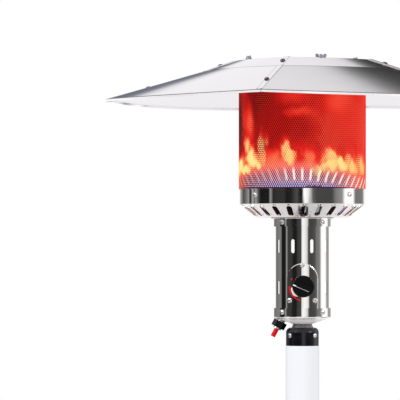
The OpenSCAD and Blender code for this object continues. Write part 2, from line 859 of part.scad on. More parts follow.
// Igniter through the dish, its nut and its button
module igniter_barrel() color("#8c8f94") in_igniter() {
    low = igniter_gap + igniter_nut_h + barrel_low;
    difference() {
        union() {
            translate([0, 0, -low]) cylinder(r = barrel_r, h = low + barrel_up);
            translate([0, 0, igniter_gap + collar_t]) cylinder(r = barrel_r + 3, h = 2);
        }
        translate([0, 0, -low - 1]) cylinder(d = button_d + 2 * run, h = low + 1 + button_room);
    }
}
module igniter_nut() color("#161618") in_igniter() {
    difference() {
        translate([0, 0, -igniter_gap - igniter_nut_h]) hex(igniter_nut_w, igniter_nut_h);
        translate([0, 0, -igniter_gap - 2 * igniter_nut_h])
            cylinder(r = barrel_r + fit, h = 3 * igniter_nut_h);
    }
}
module igniter_button() color("#d5161c") in_igniter() {
    low = igniter_gap + igniter_nut_h + barrel_low + button_out;
    rotate_extrude() polygon(path([
        [0, -low, 0], [button_d / 2, -low, 1.2], [button_d / 2, button_in, 0], [0, button_in, 0]
    ]));
}

// Burner
pan_slope = atan(pan_h / (pan_r - pan_flat_r));
module on_pan_slope(i)
    at_azimuth(pan_slot_first + i * 360 / pan_slot_n, (pan_flat_r + pan_r) / 2, pan_z + pan_h / 2)
        rotate([-pan_slope, 0, 0]) children();
module pan_holes() {
    for (a = collar_azimuths) {
        at_azimuth(a, inner_bolt_r, pan_z) hole(screw_d);
        at_azimuth(a, outer_bolt_r, pan_z) hole(screw_d);
    }
}

module burner_pan() color("#c4c2c1") {
    difference() {
        union() {
            rotate_extrude() polygon(skin([
                [pan_hole_r, pan_z, 0],
                [pan_flat_r, pan_z, 3],
                [pan_r, band_z, 2],
                [pan_r, band_z + pan_rim_h, 0]
            ], pan_t));
            for (i = [0:pan_slot_n - 1]) on_pan_slope(i) translate([0, 0, -pan_rim_out])
                linear_extrude(pan_rim_out + pan_t / 2)
                    stadium(pan_slot_w + 2 * pan_rim_w, pan_slot_l + 2 * pan_rim_w);
        }
        for (i = [0:pan_slot_n - 1]) on_pan_slope(i)
            linear_extrude(16, center = true) stadium(pan_slot_w, pan_slot_l);
        pan_holes();
    }
}

module pan_screws() color("#d6d6d8") {
    for (a = collar_azimuths) {
        at_azimuth(a, inner_bolt_r, pan_z + pan_t + fit) round_screw(6);
        at_azimuth(a, outer_bolt_r, pan_z - fit) rotate([180, 0, 0]) round_screw(6);
    }
}

module burner_band() color("#c9c7c6") {
    difference() {
        rotate_extrude() polygon(skin([
            [band_r, band_z, 0],
            [band_r, band_z + band_h - band_t, 0],
            [screen_r, band_z + band_h - band_t, 0]
        ], band_t));
        for (a = band_azimuths) at_azimuth(a, band_r, band_z + band_h * 0.6) outward() hole(screw_d);
        at_azimuth(4, band_r, band_z) outward() cylinder(d = 6, h = 10, center = true);
    }
}

module venturi_tube() color("#a9a49c") {
    low = valve_low + valve_h + boss_h + jet_h + 3;
    rotate_extrude() polygon(skin([
        [venturi_r + 5, low, 0],
        [venturi_r, low + 10, 6],
        [venturi_r, pan_z + venturi_top, 0]
    ], venturi_t));
    translate([0, 0, pan_z + pan_t + fit]) ring(pan_hole_r + 3, venturi_r - fit, venturi_t);
}

module burner_head() color("#8e8a86") {
    z = head_z;
    rim_low = z + head_drum_h;
    difference() {
        rotate_extrude() polygon(skin([
            [head_flange_r, z, 0],
            [head_drum_r, z, 1.5],
            [head_drum_r, rim_low, 1.5],
            [head_rim_r, rim_low, 1.5],
            [head_rim_r, rim_low + head_rim_h, 2.5],
            [head_rim_r / 4, rim_low + head_rim_h + head_dome, 0],
            [0, rim_low + head_rim_h + head_dome, 0]
        ], head_t));
        for (i = [0:port_n - 1]) at_azimuth(i * 360 / port_n, head_rim_r, rim_low + head_rim_h / 2)
            outward() cylinder(d = port_d, h = 8, center = true);
        for (a = collar_azimuths) at_azimuth(a, outer_bolt_r, z) hole(screw_d, 4);
    }
}

// Pilot burner, thermocouple and spark electrode on their bracket
module pilot_place(x) at_azimuth(pilot_azimuth) translate([x, -pilot_r - pilot_tube_r - fit, head_z])
    children();
module pilot_bracket() color("#a9a49c") at_azimuth(pilot_azimuth) radial_strip([
    [head_drum_r + 2, head_z + fit, 0],
    [head_drum_r + 12, head_z + fit, 3],
    [pilot_r, head_z + pilot_rise, 4],
    [pilot_r, head_z + pilot_rise + pilot_h, 0]
], 1.5, pilot_w);
module pilot_tube() color("#b7a27a") pilot_place(0) translate([0, 0, pilot_rise + 2])
    ring(pilot_tube_r, pilot_tube_r - 1, pilot_h + 10);
module thermocouple() color("#b4643c") pilot_place(pilot_step) translate([0, 0, pilot_rise + 2])
    cylinder(r = pilot_tube_r - 0.5, h = pilot_h + 14);
module spark_electrode() color("#ece8df") pilot_place(-pilot_step)
    translate([0, 0, pilot_rise + 2]) {
        cylinder(r = pilot_tube_r, h = pilot_h);
        cylinder(r = 1.2, h = pilot_h + 16);
    }

module emitter_screen() color("#d4603a") translate([0, 0, screen_z])
    ring(screen_r, screen_r - screen_t, screen_h);

module emitter_top() color("#a9a49c") {
    top = screen_top + fit + top_t;
    outer = screen_r + fit + top_t;
    difference() {
        rotate_extrude() polygon(skin([
            [outer, top - top_rim_h, 0], [outer, top, 1.6], [0, top, 0]
        ], top_t));
        stud_places(top) hole(stud_d);
    }
}

// Reflector: four panels that lap at their seams, on studs from the emitter's top
module stud_places(z) for (i = [0:3]) at_azimuth(stud_azimuth + 90 * i, stud_r, z) children();
petal_back = petal_offset / sqrt(2);
flat_d = hub_r + petal_offset;
crease_d = norm([crease_r + petal_back, petal_back]);
rim_d = norm([reflector_r + petal_back, petal_back]);
outer_slope = atan(crease_rise / (rim_d - crease_d));
inner_slope = atan((hub_rise - crease_rise) / (crease_d - flat_d));
lap_raise = reflector_t + slide;
petal_far = reflector_r + 1.2 * petal_offset;
// Profile of a panel, by the distance from its own cone's axis
function petal_slope(d) = d > crease_d ? outer_slope : inner_slope;
function petal_z(d) = rim_z + crease_rise - (d - crease_d) * tan(petal_slope(d));
function petal_path() = path([
    [petal_far, petal_z(petal_far), 0],
    [crease_d, rim_z + crease_rise, 2],
    [flat_d, hub_z, 4],
    [petal_offset * 0.8, hub_z, 0]
]);
module seam_screw_places(a) rotate(a - 90) for (r = [seam_screw_inner, seam_screw_outer]) {
    along = [r + petal_back, -lap_w / 2 - petal_back];
    d = norm(along);
    translate([-petal_back, petal_back, petal_z(d)]) rotate(atan2(along[1], along[0]))
        translate([d, 0, 0]) rotate([0, petal_slope(d), 0]) children();
}

// Sheet on a panel's own cone (side -1) or on its neighbour's (side 1), cut to a box in plan
module petal_sheet(side, near, far, x, y, dx, dy) intersection() {
    translate([-petal_back, side * petal_back, 0])
        rotate_extrude() polygon(between(petal_path(), near, far));
    translate([x, y, rim_z - 40]) cube([dx, dy, hub_rise + 80]);
}
module in_plan(r_out, r_in) translate([0, 0, rim_z - 40]) ring(r_out, r_in, hub_rise + 80);
module reflector_panel(i) color("#d9d7da") {
    a = seam_azimuth + 90 * i;
    reach = reflector_r + 10;
    wall = reflector_t * 1.5;
    difference() {
        // Before it is turned, the panel runs from its seam on +X to the next seam on +Y
        rotate(a - 90) {
            intersection() {
                petal_sheet(-1, 0, reflector_t, slide, 0, reach, reach);
                in_plan(reflector_r, panel_inner_r);
            }
            intersection() {
                petal_sheet(1, -lap_raise, -slide, lap_w, -lap_w, reach, lap_w + wall);
                in_plan(reflector_r - reflector_t, 2 * panel_inner_r);
            }
            intersection() {
                petal_sheet(-1, -lap_raise * 0.8, reflector_t / 2, lap_w, slide / 2, reach, wall - slide);
                in_plan(reflector_r - 2 * reflector_t, 2.1 * panel_inner_r);
            }
            // Lip
            intersection() {
                translate([-petal_back, -petal_back, 0]) rotate_extrude() polygon([
                    [rim_d - 40, petal_z(rim_d - 40) - lip_h], [petal_far, petal_z(petal_far) - lip_h],
                    [petal_far, petal_z(petal_far) - reflector_t / 2],
                    [rim_d - 40, petal_z(rim_d - 40) - reflector_t / 2]
                ]);
                translate([2 * slide, slide, rim_z - 60]) cube([reach, reach, 200]);
                in_plan(reflector_r - slide / 2, reflector_r - reflector_t);
            }
        }
        for (seam = [a, a + 90]) seam_screw_places(seam) hole(screw_d);
        stud_places(hub_z) hole(stud_d);
    }
}
module reflector_front_right() reflector_panel(0);
module reflector_back_right() reflector_panel(1);
module reflector_back_left() reflector_panel(2);
module reflector_front_left() reflector_panel(3);

module hub_plate() color("#d9d7da") {
    difference() {
        translate([0, 0, hub_z - reflector_t - fit - hub_plate_t])
            cylinder(r = hub_r - 1, h = hub_plate_t);
        stud_places(hub_z) hole(stud_d);
    }
}

module reflector_screws() color("#e8e6e8") for (i = [0:3]) seam_screw_places(seam_azimuth + 90 * i) {
    translate([0, 0, lap_raise + fit]) round_screw(7);
    translate([0, 0, -reflector_t - fit - 2.5]) difference() {
        hex(7, 2.5);
        translate([0, 0, -1]) cylinder(d = screw_d + fit, h = 5);
    }
}

module reflector_studs() color("#d6d6d8") {
    top = screen_top + fit + top_t;
    spacer_z = top + fit;
    under = hub_z - reflector_t - hub_plate_t - 2 * fit;
    stud_places(0) {
        translate([0, 0, top - top_t - fit - 4]) hex(10, 4);
        translate([0, 0, top - top_t - 1]) cylinder(d = stud_d, h = hub_z + wing_h - top + top_t + 1);
        translate([0, 0, spacer_z]) ring(spacer_r, stud_d / 2 + fit, under - spacer_z);
    }
}

module wing_nuts() color("#e8e6e8") stud_places(hub_z + fit) {
    difference() {
        union() {
            cylinder(r1 = 6.5, r2 = 5, h = wing_h * 0.7);
            for (side = [-1, 1]) translate([side * 8, 0, wing_h * 0.6])
                rotate([90, 0, 0]) linear_extrude(2, center = true) stadium(wing_h - 1, wing_h);
        }
        translate([0, 0, -1]) cylinder(d = stud_d + fit, h = 2 * wing_h);
    }
}

// Wheels behind the base
module wheel_bracket() color("#3a3a3d") {
    plate_y = drum_r + slide;
    arm_r = axle_d / 2 + 7;
    difference() {
        union() {
            translate([-bracket_w / 2, plate_y, bracket_z]) cube([bracket_w, bracket_t, bracket_h]);
            for (x = [-bracket_w / 2, bracket_w / 2 - bracket_t]) translate([x, 0, 0])
                rotate([90, 0, 90]) linear_extrude(bracket_t) {
                    polygon([
                        [plate_y, bracket_z], [axle_y, axle_z - arm_r],
                        [axle_y, axle_z + arm_r], [plate_y, bracket_z + bracket_h]
                    ]);
                    translate([axle_y, axle_z]) circle(r = arm_r);
                }
        }
        translate([0, axle_y, axle_z]) rotate([0, 90, 0])
            cylinder(d = axle_d + 2 * fit, h = 2 * bracket_w, center = true);
        for (x = [-bracket_bolt_x, bracket_bolt_x]) translate([x, plate_y, bracket_z + bracket_h / 2])
            outward() hole(bolt_d);
    }
    for (x = [-bracket_bolt_x, bracket_bolt_x])
        translate([x, plate_y + bracket_t + fit, bracket_z + bracket_h / 2]) rotate([-90, 0, 0])
            hex_bolt(bolt_af, bolt_head_h, bolt_d, 9);
}

module wheel_axle() color("#b9bcc0") translate([0, axle_y, axle_z]) rotate([0, 90, 0]) {
    cylinder(d = axle_d, h = axle_l, center = true);
    for (side = [-1, 1]) translate([0, 0, side * (axle_l / 2 - 1.5)])
        cylinder(d = axle_d + 8, h = 3, center = true);
}

module wheel(side) color("#1c1c1f") {
    near = bracket_w / 2 + hub_gap;
    bore = axle_d / 2 + run;
    rim = wheel_d / 2 - 13;
    half = wheel_w / 2;
    translate([side * (near + half), axle_y, axle_z]) rotate([0, 90, 0]) rotate_extrude()
        polygon(path([
            [bore, -half, 0], [bore + 7, -half, 1], [bore + 9, -half + 7, 1],
            [rim, -half + 7, 1], [rim + 2, -half + 2, 1], [wheel_d / 2, -half + 3, 5],
            [wheel_d / 2, half - 3, 5], [rim + 2, half - 2, 1], [rim, half - 7, 1],
            [bore + 9, half - 7, 1], [bore + 7, half, 1], [bore, half, 0]
        ]));
}
module wheel_left() wheel(-1);
module wheel_right() wheel(1);

base_pan();
vent_ring();
leg_left();
leg_right();
leg_back();
leg_bolts();
foot_plate();
lower_post();
joint_sleeve();
upper_post();
white_sleeve();
post_cap();
post_screws();
neck_tube();
gas_hose();
gas_inlet();
housing_shell();
housing_lid();
lid_screws();
lid_collar();
handle_left();
handle_right();
lid_catch();
bottom_dish();
control_housing();
top_collar();
head_screws();
control_panel();
heat_scale();
gas_valve();
gas_jet();
push_washer();
control_knob();
tilt_switch();
igniter_barrel();
igniter_nut();
igniter_button();
burner_pan();
pan_screws();
burner_band();
venturi_tube();
burner_head();
pilot_bracket();
pilot_tube();
thermocouple();
spark_electrode();
emitter_screen();
emitter_top();
reflector_front_right();
reflector_back_right();
reflector_back_left();
reflector_front_left();
hub_plate();
reflector_screws();
reflector_studs();
wing_nuts();
wheel_bracket();
wheel_axle();
wheel_left();
wheel_right();
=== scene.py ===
"""Looks of the propane patio heater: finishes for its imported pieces, the perforated emitter, the flames
and a plain studio."""

import math

import bmesh
import bpy
from bpy.props import EnumProperty, FloatProperty, FloatVectorProperty, IntProperty, PointerProperty
from mathutils import Matrix, Vector


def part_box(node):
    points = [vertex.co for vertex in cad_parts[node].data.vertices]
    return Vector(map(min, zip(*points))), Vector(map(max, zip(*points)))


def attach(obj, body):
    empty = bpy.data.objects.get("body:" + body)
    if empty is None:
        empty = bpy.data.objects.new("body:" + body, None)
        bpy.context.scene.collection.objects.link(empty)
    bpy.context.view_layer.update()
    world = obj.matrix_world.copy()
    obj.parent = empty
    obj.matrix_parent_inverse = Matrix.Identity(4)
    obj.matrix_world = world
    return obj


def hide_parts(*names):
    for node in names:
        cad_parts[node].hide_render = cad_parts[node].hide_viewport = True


bl_info = {
    "name": "Patio heater looks",
    "version": (1, 0, 0),
    "blender": (4, 5, 0),
    "location": "View3D > Sidebar > Heater",
    "description": "Dresses the packed patio heater with finishes, a perforated emitter and flames",
    "category": "Add Mesh",
}

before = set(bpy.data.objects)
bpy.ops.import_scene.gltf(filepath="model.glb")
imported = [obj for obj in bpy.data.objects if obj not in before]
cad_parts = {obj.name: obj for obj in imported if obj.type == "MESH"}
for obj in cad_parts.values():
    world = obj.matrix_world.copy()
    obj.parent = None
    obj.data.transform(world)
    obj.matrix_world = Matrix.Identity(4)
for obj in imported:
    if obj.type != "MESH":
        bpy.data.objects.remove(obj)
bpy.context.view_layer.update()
SCREEN_LOW, SCREEN_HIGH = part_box("emitter_screen")
KNOB_LOW, KNOB_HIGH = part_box("control_knob")
SCALE_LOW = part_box("heat_scale")[0]
PANEL_LOW, PANEL_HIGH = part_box("control_panel")
PANELS = ("reflector_front_right", "reflector_back_right", "reflector_back_left", "reflector_front_left")
RIM_R, HUB_Z = -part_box(PANELS[3])[0].x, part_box(PANELS[0])[1].z

# Half the width of the knob's grip in metres, and how far the knob stands turned in the photo, in degrees
GRIP_HALF_W = 0.0055
KNOB_TURN = -157

# Height in metres of the painted ring of ports above the emitter's lower edge, and how much higher it is at
# the front and the back
PORT_Z, PORT_RISE = 0.002, 0.019

# Radius of the bottom dish in metres, within which it is satin and not polished
DISH_SATIN_R = 0.053

# First angle and sweep of the white crescent round the knob, in degrees, and its greatest width in metres
CRESCENT = (184, 56, 0.0044)

# The studio, in metres: distance and strength of the walls that only reflections see, where the floor
# starts and ends to fade to white, and where the lamps point
WALL_R = 9.0
WALL_STRENGTH = 1.25
FLOOR_FADE = (0.7, 2.6)
LAMP_TARGET = (0, 0, 1.2)

# Name, place, width in metres and watts of each lamp
LAMPS = (
    ("lamp_left", (-3.4, -2.6, 3.6), 1.6, 95),
    ("lamp_right", (3.6, -2.2, 3.2), 1.4, 60),
)

# Lens in millimetres and the point that the camera looks at, for each framing
VIEWS = {"HEAD": (304.2, (-0.198, 0, 1.937)), "WHOLE": (92.0, (0, 0, 1.1))}

# Azimuths are in degrees from the camera's side towards +X, as in the part's source.

# Walls of the studio that only reflections see: lower and upper height in metres, the shades at azimuths
# from one to the next, and the shades at heights, of which the lighter of the two shows. A wall stops at
# its last azimuth. The apron lies on the floor and runs inwards to the radius at its end.
WALLS = {
    "wall_low": (0.03, 1.985, (
        (-180, 0.62), (-160, 0.2), (-142, 0.13), (-120, 0.18), (-104, 0.17), (-100, 0.0), (-77, 0.0),
        (-74, 0.27), (-70, 0.22), (-65, 0.03), (-46, 0.026), (-40, 0.003), (-27, 0.0), (-22, 0.02),
        (-12, 0.045), (-6, 0.01), (-3, 0.5), (1, 0.9), (12, 0.78), (21, 0.56), (26, 0.05), (38, 0.04),
        (56, 0.06), (64, 0.15), (80, 0.18), (86, 0.5), (92, 1.0), (118, 0.95), (131, 0.26), (142, 0.28),
        (156, 0.35), (180, 0.62),
    ), ()),
    "apron": (0.02, 0.025, (
        (-180, 0.8), (-145, 0.8), (-130, 0.1), (-112, 0.06), (-100, 0.3), (-72, 0.1), (-66, 0.8),
        (-58, 0.8), (-50, 0.12), (-30, 0.06), (-20, 0.6), (0, 0.8), (14, 0.3), (30, 0.1), (52, 0.1),
        (60, 0.7), (75, 0.8), (85, 0.12), (110, 0.06), (125, 0.3), (135, 0.8), (180, 0.8),
    ), (), 3.0),
    "wall_high": (1.985, 2.36, (
        (-180, 0.85), (-152, 0.26), (-137, 0.05), (-124, 0.16), (-116, 0.28), (-113, 0.02), (-109, 0.02),
        (-104, 0.36), (-99, 0.1), (-94, 0.32), (-88, 0.07), (-83, 0.0), (-64, 0.0), (-60, 0.26), (-55, 0.01),
        (-46, 0.02), (-34, 0.02), (-28, 0.0), (-20, 0.006), (-10, 0.055), (-4, 0.0), (0, 0.0), (3, 1.0),
        (11, 0.75), (19, 0.09), (26, 0.046), (56, 0.045), (64, 0.17), (78, 0.26), (85, 1.0), (105, 1.0),
        (114, 0.15),
    ), ()),
    "wall_behind": (1.985, 2.36, ((114, 0.15), (145, 0.17), (158, 0.7), (180, 0.85)), ()),
    "card_right": (2.6, 9.0, ((140, 0.0), (180.5, 0.0), (183.4, 0.82)), (
        (2.6, 0.5), (3.2, 0.03), (5.1, 0.024), (5.7, 0.036), (6.1, 0.075), (6.45, 0.19), (6.8, 0.56),
        (7.0, 0.64), (7.5, 0.7), (9.0, 0.8),
    )),
    "card_left": (2.7, 5.0, ((183.4, 0.82), (184.2, 0.0), (190, 0.0), (215, 0.82)), (
        (2.7, 0.8), (2.95, 0.3), (3.3, (0.09, 0.095, 0.13)), (4.2, (0.15, 0.155, 0.2)), (4.6, 0.6),
        (5.0, 0.82),
    )),
}

# Flame tongues inside the emitter: azimuth, height of the middle above the emitter's lower edge, half
# width, half height, and how hot the gas and the sheet are there.
TONGUES = (
    (-60, 0.082, 0.022, 0.038, 0.98, 0.94),
    (-54, 0.064, 0.028, 0.036, 1.1, 1.06),
    (-49, 0.050, 0.032, 0.034, 1.15, 1.08),
    (-40, 0.072, 0.020, 0.066, 1.18, 0.30),
    (-76, 0.042, 0.060, 0.046, 1.15, 1.04),
    (-62, 0.036, 0.048, 0.032, 1.15, 1.02),
    (-16, 0.074, 0.019, 0.044, 1.2, 0.82),
    (-12, 0.058, 0.026, 0.034, 1.2, 0.88),
    (14, 0.038, 0.036, 0.026, 1.12, 0.92),
    (26, 0.052, 0.042, 0.038, 1.15, 0.86),
    (25, 0.038, 0.046, 0.028, 1.12, 0.94),
    (38, 0.044, 0.046, 0.038, 1.18, 0.98),
    (52, 0.036, 0.040, 0.034, 1.1, 0.9),
    (68, 0.046, 0.054, 0.056, 1.15, 0.88),
    (96, 0.058, 0.025, 0.046, 1.0, 0.85),
    (128, 0.048, 0.034, 0.038, 1.05, 0.95),
    (161, 0.064, 0.021, 0.046, 1.0, 0.80),
    (-166, 0.050, 0.036, 0.040, 1.05, 0.95),
    (-132, 0.062, 0.021, 0.046, 1.0, 0.82),
    (-100, 0.046, 0.034, 0.042, 1.05, 0.95),
)

# Darker and brighter clouds of gas above the flames, in the same terms.
CLOUDS = (
    (50, 0.130, 0.120, 0.130, 0.30, 0.62),
    (-8, 0.185, 0.055, 0.040, 0.36, 0.62),
    (-41, 0.165, 0.052, 0.095, 0.50, 0.0),
    (-80, 0.125, 0.050, 0.115, 0.82, 0.06),
    (-57, 0.118, 0.022, 0.060, 0.80, 0.62),
    (-25, 0.116, 0.056, 0.055, 0.0, 0.36),
    (0, 0.108, 0.040, 0.030, 0.0, 0.46),
    (-2, 0.142, 0.044, 0.016, 0.46, 0.66),
    (36, 0.172, 0.045, 0.040, 0.62, 0.66),
    (110, 0.140, 0.050, 0.080, 0.50, 0.2),
    (150, 0.110, 0.060, 0.060, 0.02, 0.36),
    (-150, 0.150, 0.040, 0.080, 0.60, 0.2),
    (-110, 0.110, 0.050, 0.070, 0.05, 0.4),
)

# How hot the sheet is in general, at azimuths from one to the next.
SHEET_HEAT = (
    (-180, 0.5), (-120, 0.42), (-60, 0.3), (-38, 0.24), (-22, 0.4), (-8, 0.5), (4, 0.56), (36, 0.58),
    (70, 0.58), (130, 0.48), (180, 0.5),
)

# Colours of the glow from dark maroon through red and orange to pale yellow.
HEAT_COLOURS = (
    (0.0, (0.05, 0.001, 0.001)), (0.2, (0.30, 0.004, 0.003)), (0.4, (0.58, 0.007, 0.005)),
    (0.6, (0.84, 0.026, 0.015)), (0.72, (0.92, 0.10, 0.05)), (0.84, (0.96, 0.34, 0.11)),
    (0.92, (1.0, 0.62, 0.17)), (1.0, (1.0, 0.80, 0.30)),
)


# Sizes and colours that a user would change


class HeaterSizes(bpy.types.PropertyGroup):
    """Sizes of the added pieces, places of the marks in the finishes, and the camera's view."""

    hole_columns: IntProperty(
        name="Hole columns", description="Holes round each half of the emitter", default=88, min=20, max=92
    )
    hole_d: FloatProperty(
        name="Hole", description="Width of one hole in the emitter", default=0.0033, unit="LENGTH"
    )
    sheet_t: FloatProperty(
        name="Sheet", description="Thickness of the emitter's sheet", default=0.0008, unit="LENGTH"
    )
    jet_count: IntProperty(
        name="Jets", description="Gas jets round the burner's ring", default=50, min=12, max=80
    )
    flame_gap: FloatProperty(
        name="Flame gap", description="Gap between the flames and the emitter", default=0.004, unit="LENGTH"
    )
    panel_arch: FloatProperty(
        name="Panel arch", description="Height of the arch's centre in the control panel", default=0.056,
        unit="LENGTH"
    )
    panel_roll: FloatProperty(
        name="Panel roll", description="Width of the control panel's rolled edge", default=0.0022,
        unit="LENGTH"
    )
    seam_turn: FloatProperty(
        name="Seam", description="Azimuth of the reflector's front seam, in degrees", default=-11.4
    )
    petal_offset: FloatProperty(
        name="Cone offset", description="How far behind the post a panel's cone is centred", default=0.105,
        unit="LENGTH"
    )
    crease_r: FloatProperty(
        name="Crease radius", description="Radius of the reflector's crease at a seam", default=0.195,
        unit="LENGTH"
    )
    crease_drop: FloatProperty(
        name="Crease drop", description="Height of the reflector's top above its crease", default=0.0195,
        unit="LENGTH"
    )
    rim_drop: FloatProperty(
        name="Rim drop", description="Height of the reflector's top above its rim at a seam", default=0.0715,
        unit="LENGTH"
    )
    lap_w: FloatProperty(
        name="Lap", description="Width of the lapped seam between two panels", default=0.009, unit="LENGTH"
    )
    framing: EnumProperty(
        name="Framing",
        description="The part of the heater that the camera shows",
        items=(("HEAD", "Head", "The lit head, close up"), ("WHOLE", "Whole", "The whole heater")),
        default="HEAD",
    )
    camera_y: FloatProperty(
        name="Camera distance", description="Distance from the post to the camera", default=6.54,
        unit="LENGTH"
    )
    camera_z: FloatProperty(
        name="Camera height", description="Height of the camera", default=1.86, unit="LENGTH"
    )


def colour(name, description, default):
    """One colour swatch of the panel."""
    return FloatVectorProperty(
        name=name, description=description, default=default, subtype="COLOR", size=3, min=0.0, max=1.0
    )


class HeaterColours(bpy.types.PropertyGroup):
    """Base colours of the finishes."""

    enamel: colour("Gloss enamel", "Base, lid and post", (0.004, 0.004, 0.006))
    housing: colour("Housing paint", "Tank housing and vent ring", (0.030, 0.028, 0.036))
    sleeve: colour("Sleeve", "Sleeve on the post", (0.82, 0.83, 0.87))
    mirror: colour("Mirror steel", "Control housing, pan and band", (0.86, 0.84, 0.83))
    reflector: colour("Aluminium", "Reflector panels", (0.83, 0.80, 0.83))
    steel: colour("Steel", "Emitter sheet when cold", (0.36, 0.30, 0.27))
    plastic: colour("Black plastic", "Knob, nut and handles", (0.010, 0.010, 0.011))
    red: colour("Red", "Igniter button and heat scale", (0.64, 0.001, 0.004))


# Material helpers


class Finish:
    """A material under construction: its tree, its Principled shader and short ways to add nodes."""

    def __init__(self, name, base, metallic=0.0, roughness=0.4, **sockets):
        self.material = bpy.data.materials.new(name)
        self.material.use_nodes = True
        self.tree = self.material.node_tree
        self.shader = self.tree.nodes["Principled BSDF"]
        self.shader.inputs["Base Color"].default_value = (*base, 1.0)
        self.shader.inputs["Metallic"].default_value = metallic
        self.shader.inputs["Roughness"].default_value = roughness
        for socket, value in sockets.items():
            self.shader.inputs[socket.replace("_", " ")].default_value = value

    def node(self, kind, **settings):
        made = self.tree.nodes.new(kind)
        for key, value in settings.items():
            setattr(made, key, value)
        return made

    def feed(self, socket, value):
        """Links an output to a socket, or writes a plain number or colour into it."""
        if isinstance(value, bpy.types.NodeSocket):
            self.tree.links.new(value, socket)
        elif isinstance(value, (tuple, list)) and len(value) == 3 and socket.type == "RGBA":
            socket.default_value = (*value, 1.0)
        else:
            socket.default_value = value

    def coords(self, scale=(1, 1, 1), location=(0, 0, 0), rotation=(0, 0, 0)):
        """Object coordinates in metres, moved, turned and scaled."""
        place = self.node("ShaderNodeTexCoord")
        mapping = self.node("ShaderNodeMapping")
        self.tree.links.new(place.outputs["Object"], mapping.inputs["Vector"])
        mapping.inputs["Scale"].default_value = scale
        mapping.inputs["Location"].default_value = location
        mapping.inputs["Rotation"].default_value = rotation
        return mapping.outputs["Vector"]

    def noise(self, vector, scale, detail=3.0, rough=0.5):
        made = self.node("ShaderNodeTexNoise")
        self.tree.links.new(vector, made.inputs["Vector"])
        made.inputs["Scale"].default_value = scale
        made.inputs["Detail"].default_value = detail
        made.inputs["Roughness"].default_value = rough
        return made.outputs["Fac"]

    def ramp(self, factor, stops):
        """A colour ramp; a stop is a position and a grey or a colour."""
        made = self.node("ShaderNodeValToRGB")
        self.tree.links.new(factor, made.inputs["Fac"])
        for index, (position, shade) in enumerate(stops):
            rgb = shade if isinstance(shade, (tuple, list)) else (shade,) * 3
            elements = made.color_ramp.elements
            stop = elements[index] if index < 2 else elements.new(position)
            stop.position, stop.color = position, (*rgb, 1.0)
        return made.outputs["Color"]

    def spread(self, value, low, high, to_low=0.0, to_high=1.0):
        """Maps a value smoothly from one range to another."""
        made = self.node("ShaderNodeMapRange", interpolation_type="SMOOTHSTEP")
        for socket, number in zip(("Value", "From Min", "From Max", "To Min", "To Max"),
                                  (value, low, high, to_low, to_high)):
            self.feed(made.inputs[socket], number)
        return made.outputs["Result"]

    def share(self, value, low, high):
        """How far a value lies from one end of a range to the other."""
        made = self.node("ShaderNodeMapRange")
        for socket, number in zip(("Value", "From Min", "From Max"), (value, low, high)):
            self.feed(made.inputs[socket], number)
        return made.outputs["Result"]

    def sum(self, operation, a, b=0.0):
        made = self.node("ShaderNodeMath", operation=operation)
        self.feed(made.inputs[0], a)
        self.feed(made.inputs[1], b)
        return made.outputs["Value"]

    def length(self, a, b):
        """Length of a pair of plan coordinates."""
        squares = self.sum("ADD", self.sum("MULTIPLY", a, a), self.sum("MULTIPLY", b, b))
        return self.sum("POWER", squares, 0.5)

    def near(self, value, middle, inner, outer):
        """1 where a value lies within the inner reach of a middle, falling to 0 at the outer reach."""
        return self.spread(self.sum("ABSOLUTE", self.sum("SUBTRACT", value, middle)), outer, inner)

    def mix(self, factor, a, b, blend="MIX"):
        made = self.node("ShaderNodeMix", data_type="RGBA", blend_type=blend)
        self.feed(made.inputs["Factor"], factor)
        self.feed(made.inputs[6], a)
        self.feed(made.inputs[7], b)
        return made.outputs[2]

    def blend(self, factor, a, b):
        """Mixes two numbers."""
        made = self.node("ShaderNodeMix", data_type="FLOAT")
        for index, value in enumerate((factor, None, a, b)):
            if value is not None:
                self.feed(made.inputs[index], value)
        return made.outputs[0]

    def tone(self, colour_output):
        """Brightness of a colour."""
        made = self.node("ShaderNodeRGBToBW")
        self.feed(made.inputs["Color"], colour_output)
        return made.outputs["Val"]

    def axes(self):
        """X, Y and Z of the object coordinates."""
        parts = self.node("ShaderNodeSeparateXYZ")
        self.tree.links.new(self.coords(), parts.inputs["Vector"])
        return parts.outputs["X"], parts.outputs["Y"], parts.outputs["Z"]

    def azimuth(self):
        """Angle round the post, in radians, from the front towards +X."""
        x, y, _ = self.axes()
        return self.sum("ARCTAN2", x, self.sum("MULTIPLY", y, -1.0))

    def warped(self, scale, reach):
        """Object coordinates pushed about by a noise, by up to half its reach along X, Y and Z."""
        push = self.node("ShaderNodeTexNoise")
        self.tree.links.new(self.coords(scale=(1, 1, 0.5)), push.inputs["Vector"])
        push.inputs["Scale"].default_value = scale
        push.inputs["Detail"].default_value = 2.0
        centred = self.node("ShaderNodeVectorMath", operation="SUBTRACT")
        self.tree.links.new(push.outputs["Color"], centred.inputs[0])
        centred.inputs[1].default_value = (0.5, 0.5, 0.5)
        moved = self.node("ShaderNodeVectorMath", operation="MULTIPLY_ADD")
        self.tree.links.new(centred.outputs["Vector"], moved.inputs[0])
        moved.inputs[1].default_value = reach
        self.tree.links.new(self.coords(), moved.inputs[2])
        return moved.outputs["Vector"]

    def spot(self, vector, centre, reach):
        """1 at a point, falling smoothly to 0 at its reach along X, Y and Z."""
        near = self.node("ShaderNodeMapping")
        self.tree.links.new(vector, near.inputs["Vector"])
        near.inputs["Scale"].default_value = tuple(1 / r for r in reach)
        near.inputs["Location"].default_value = tuple(-c / r for c, r in zip(centre, reach))
        length = self.node("ShaderNodeVectorMath", operation="LENGTH")
        self.tree.links.new(near.outputs["Vector"], length.inputs[0])
        return self.spread(length.outputs["Value"], 1.0, 0.15)

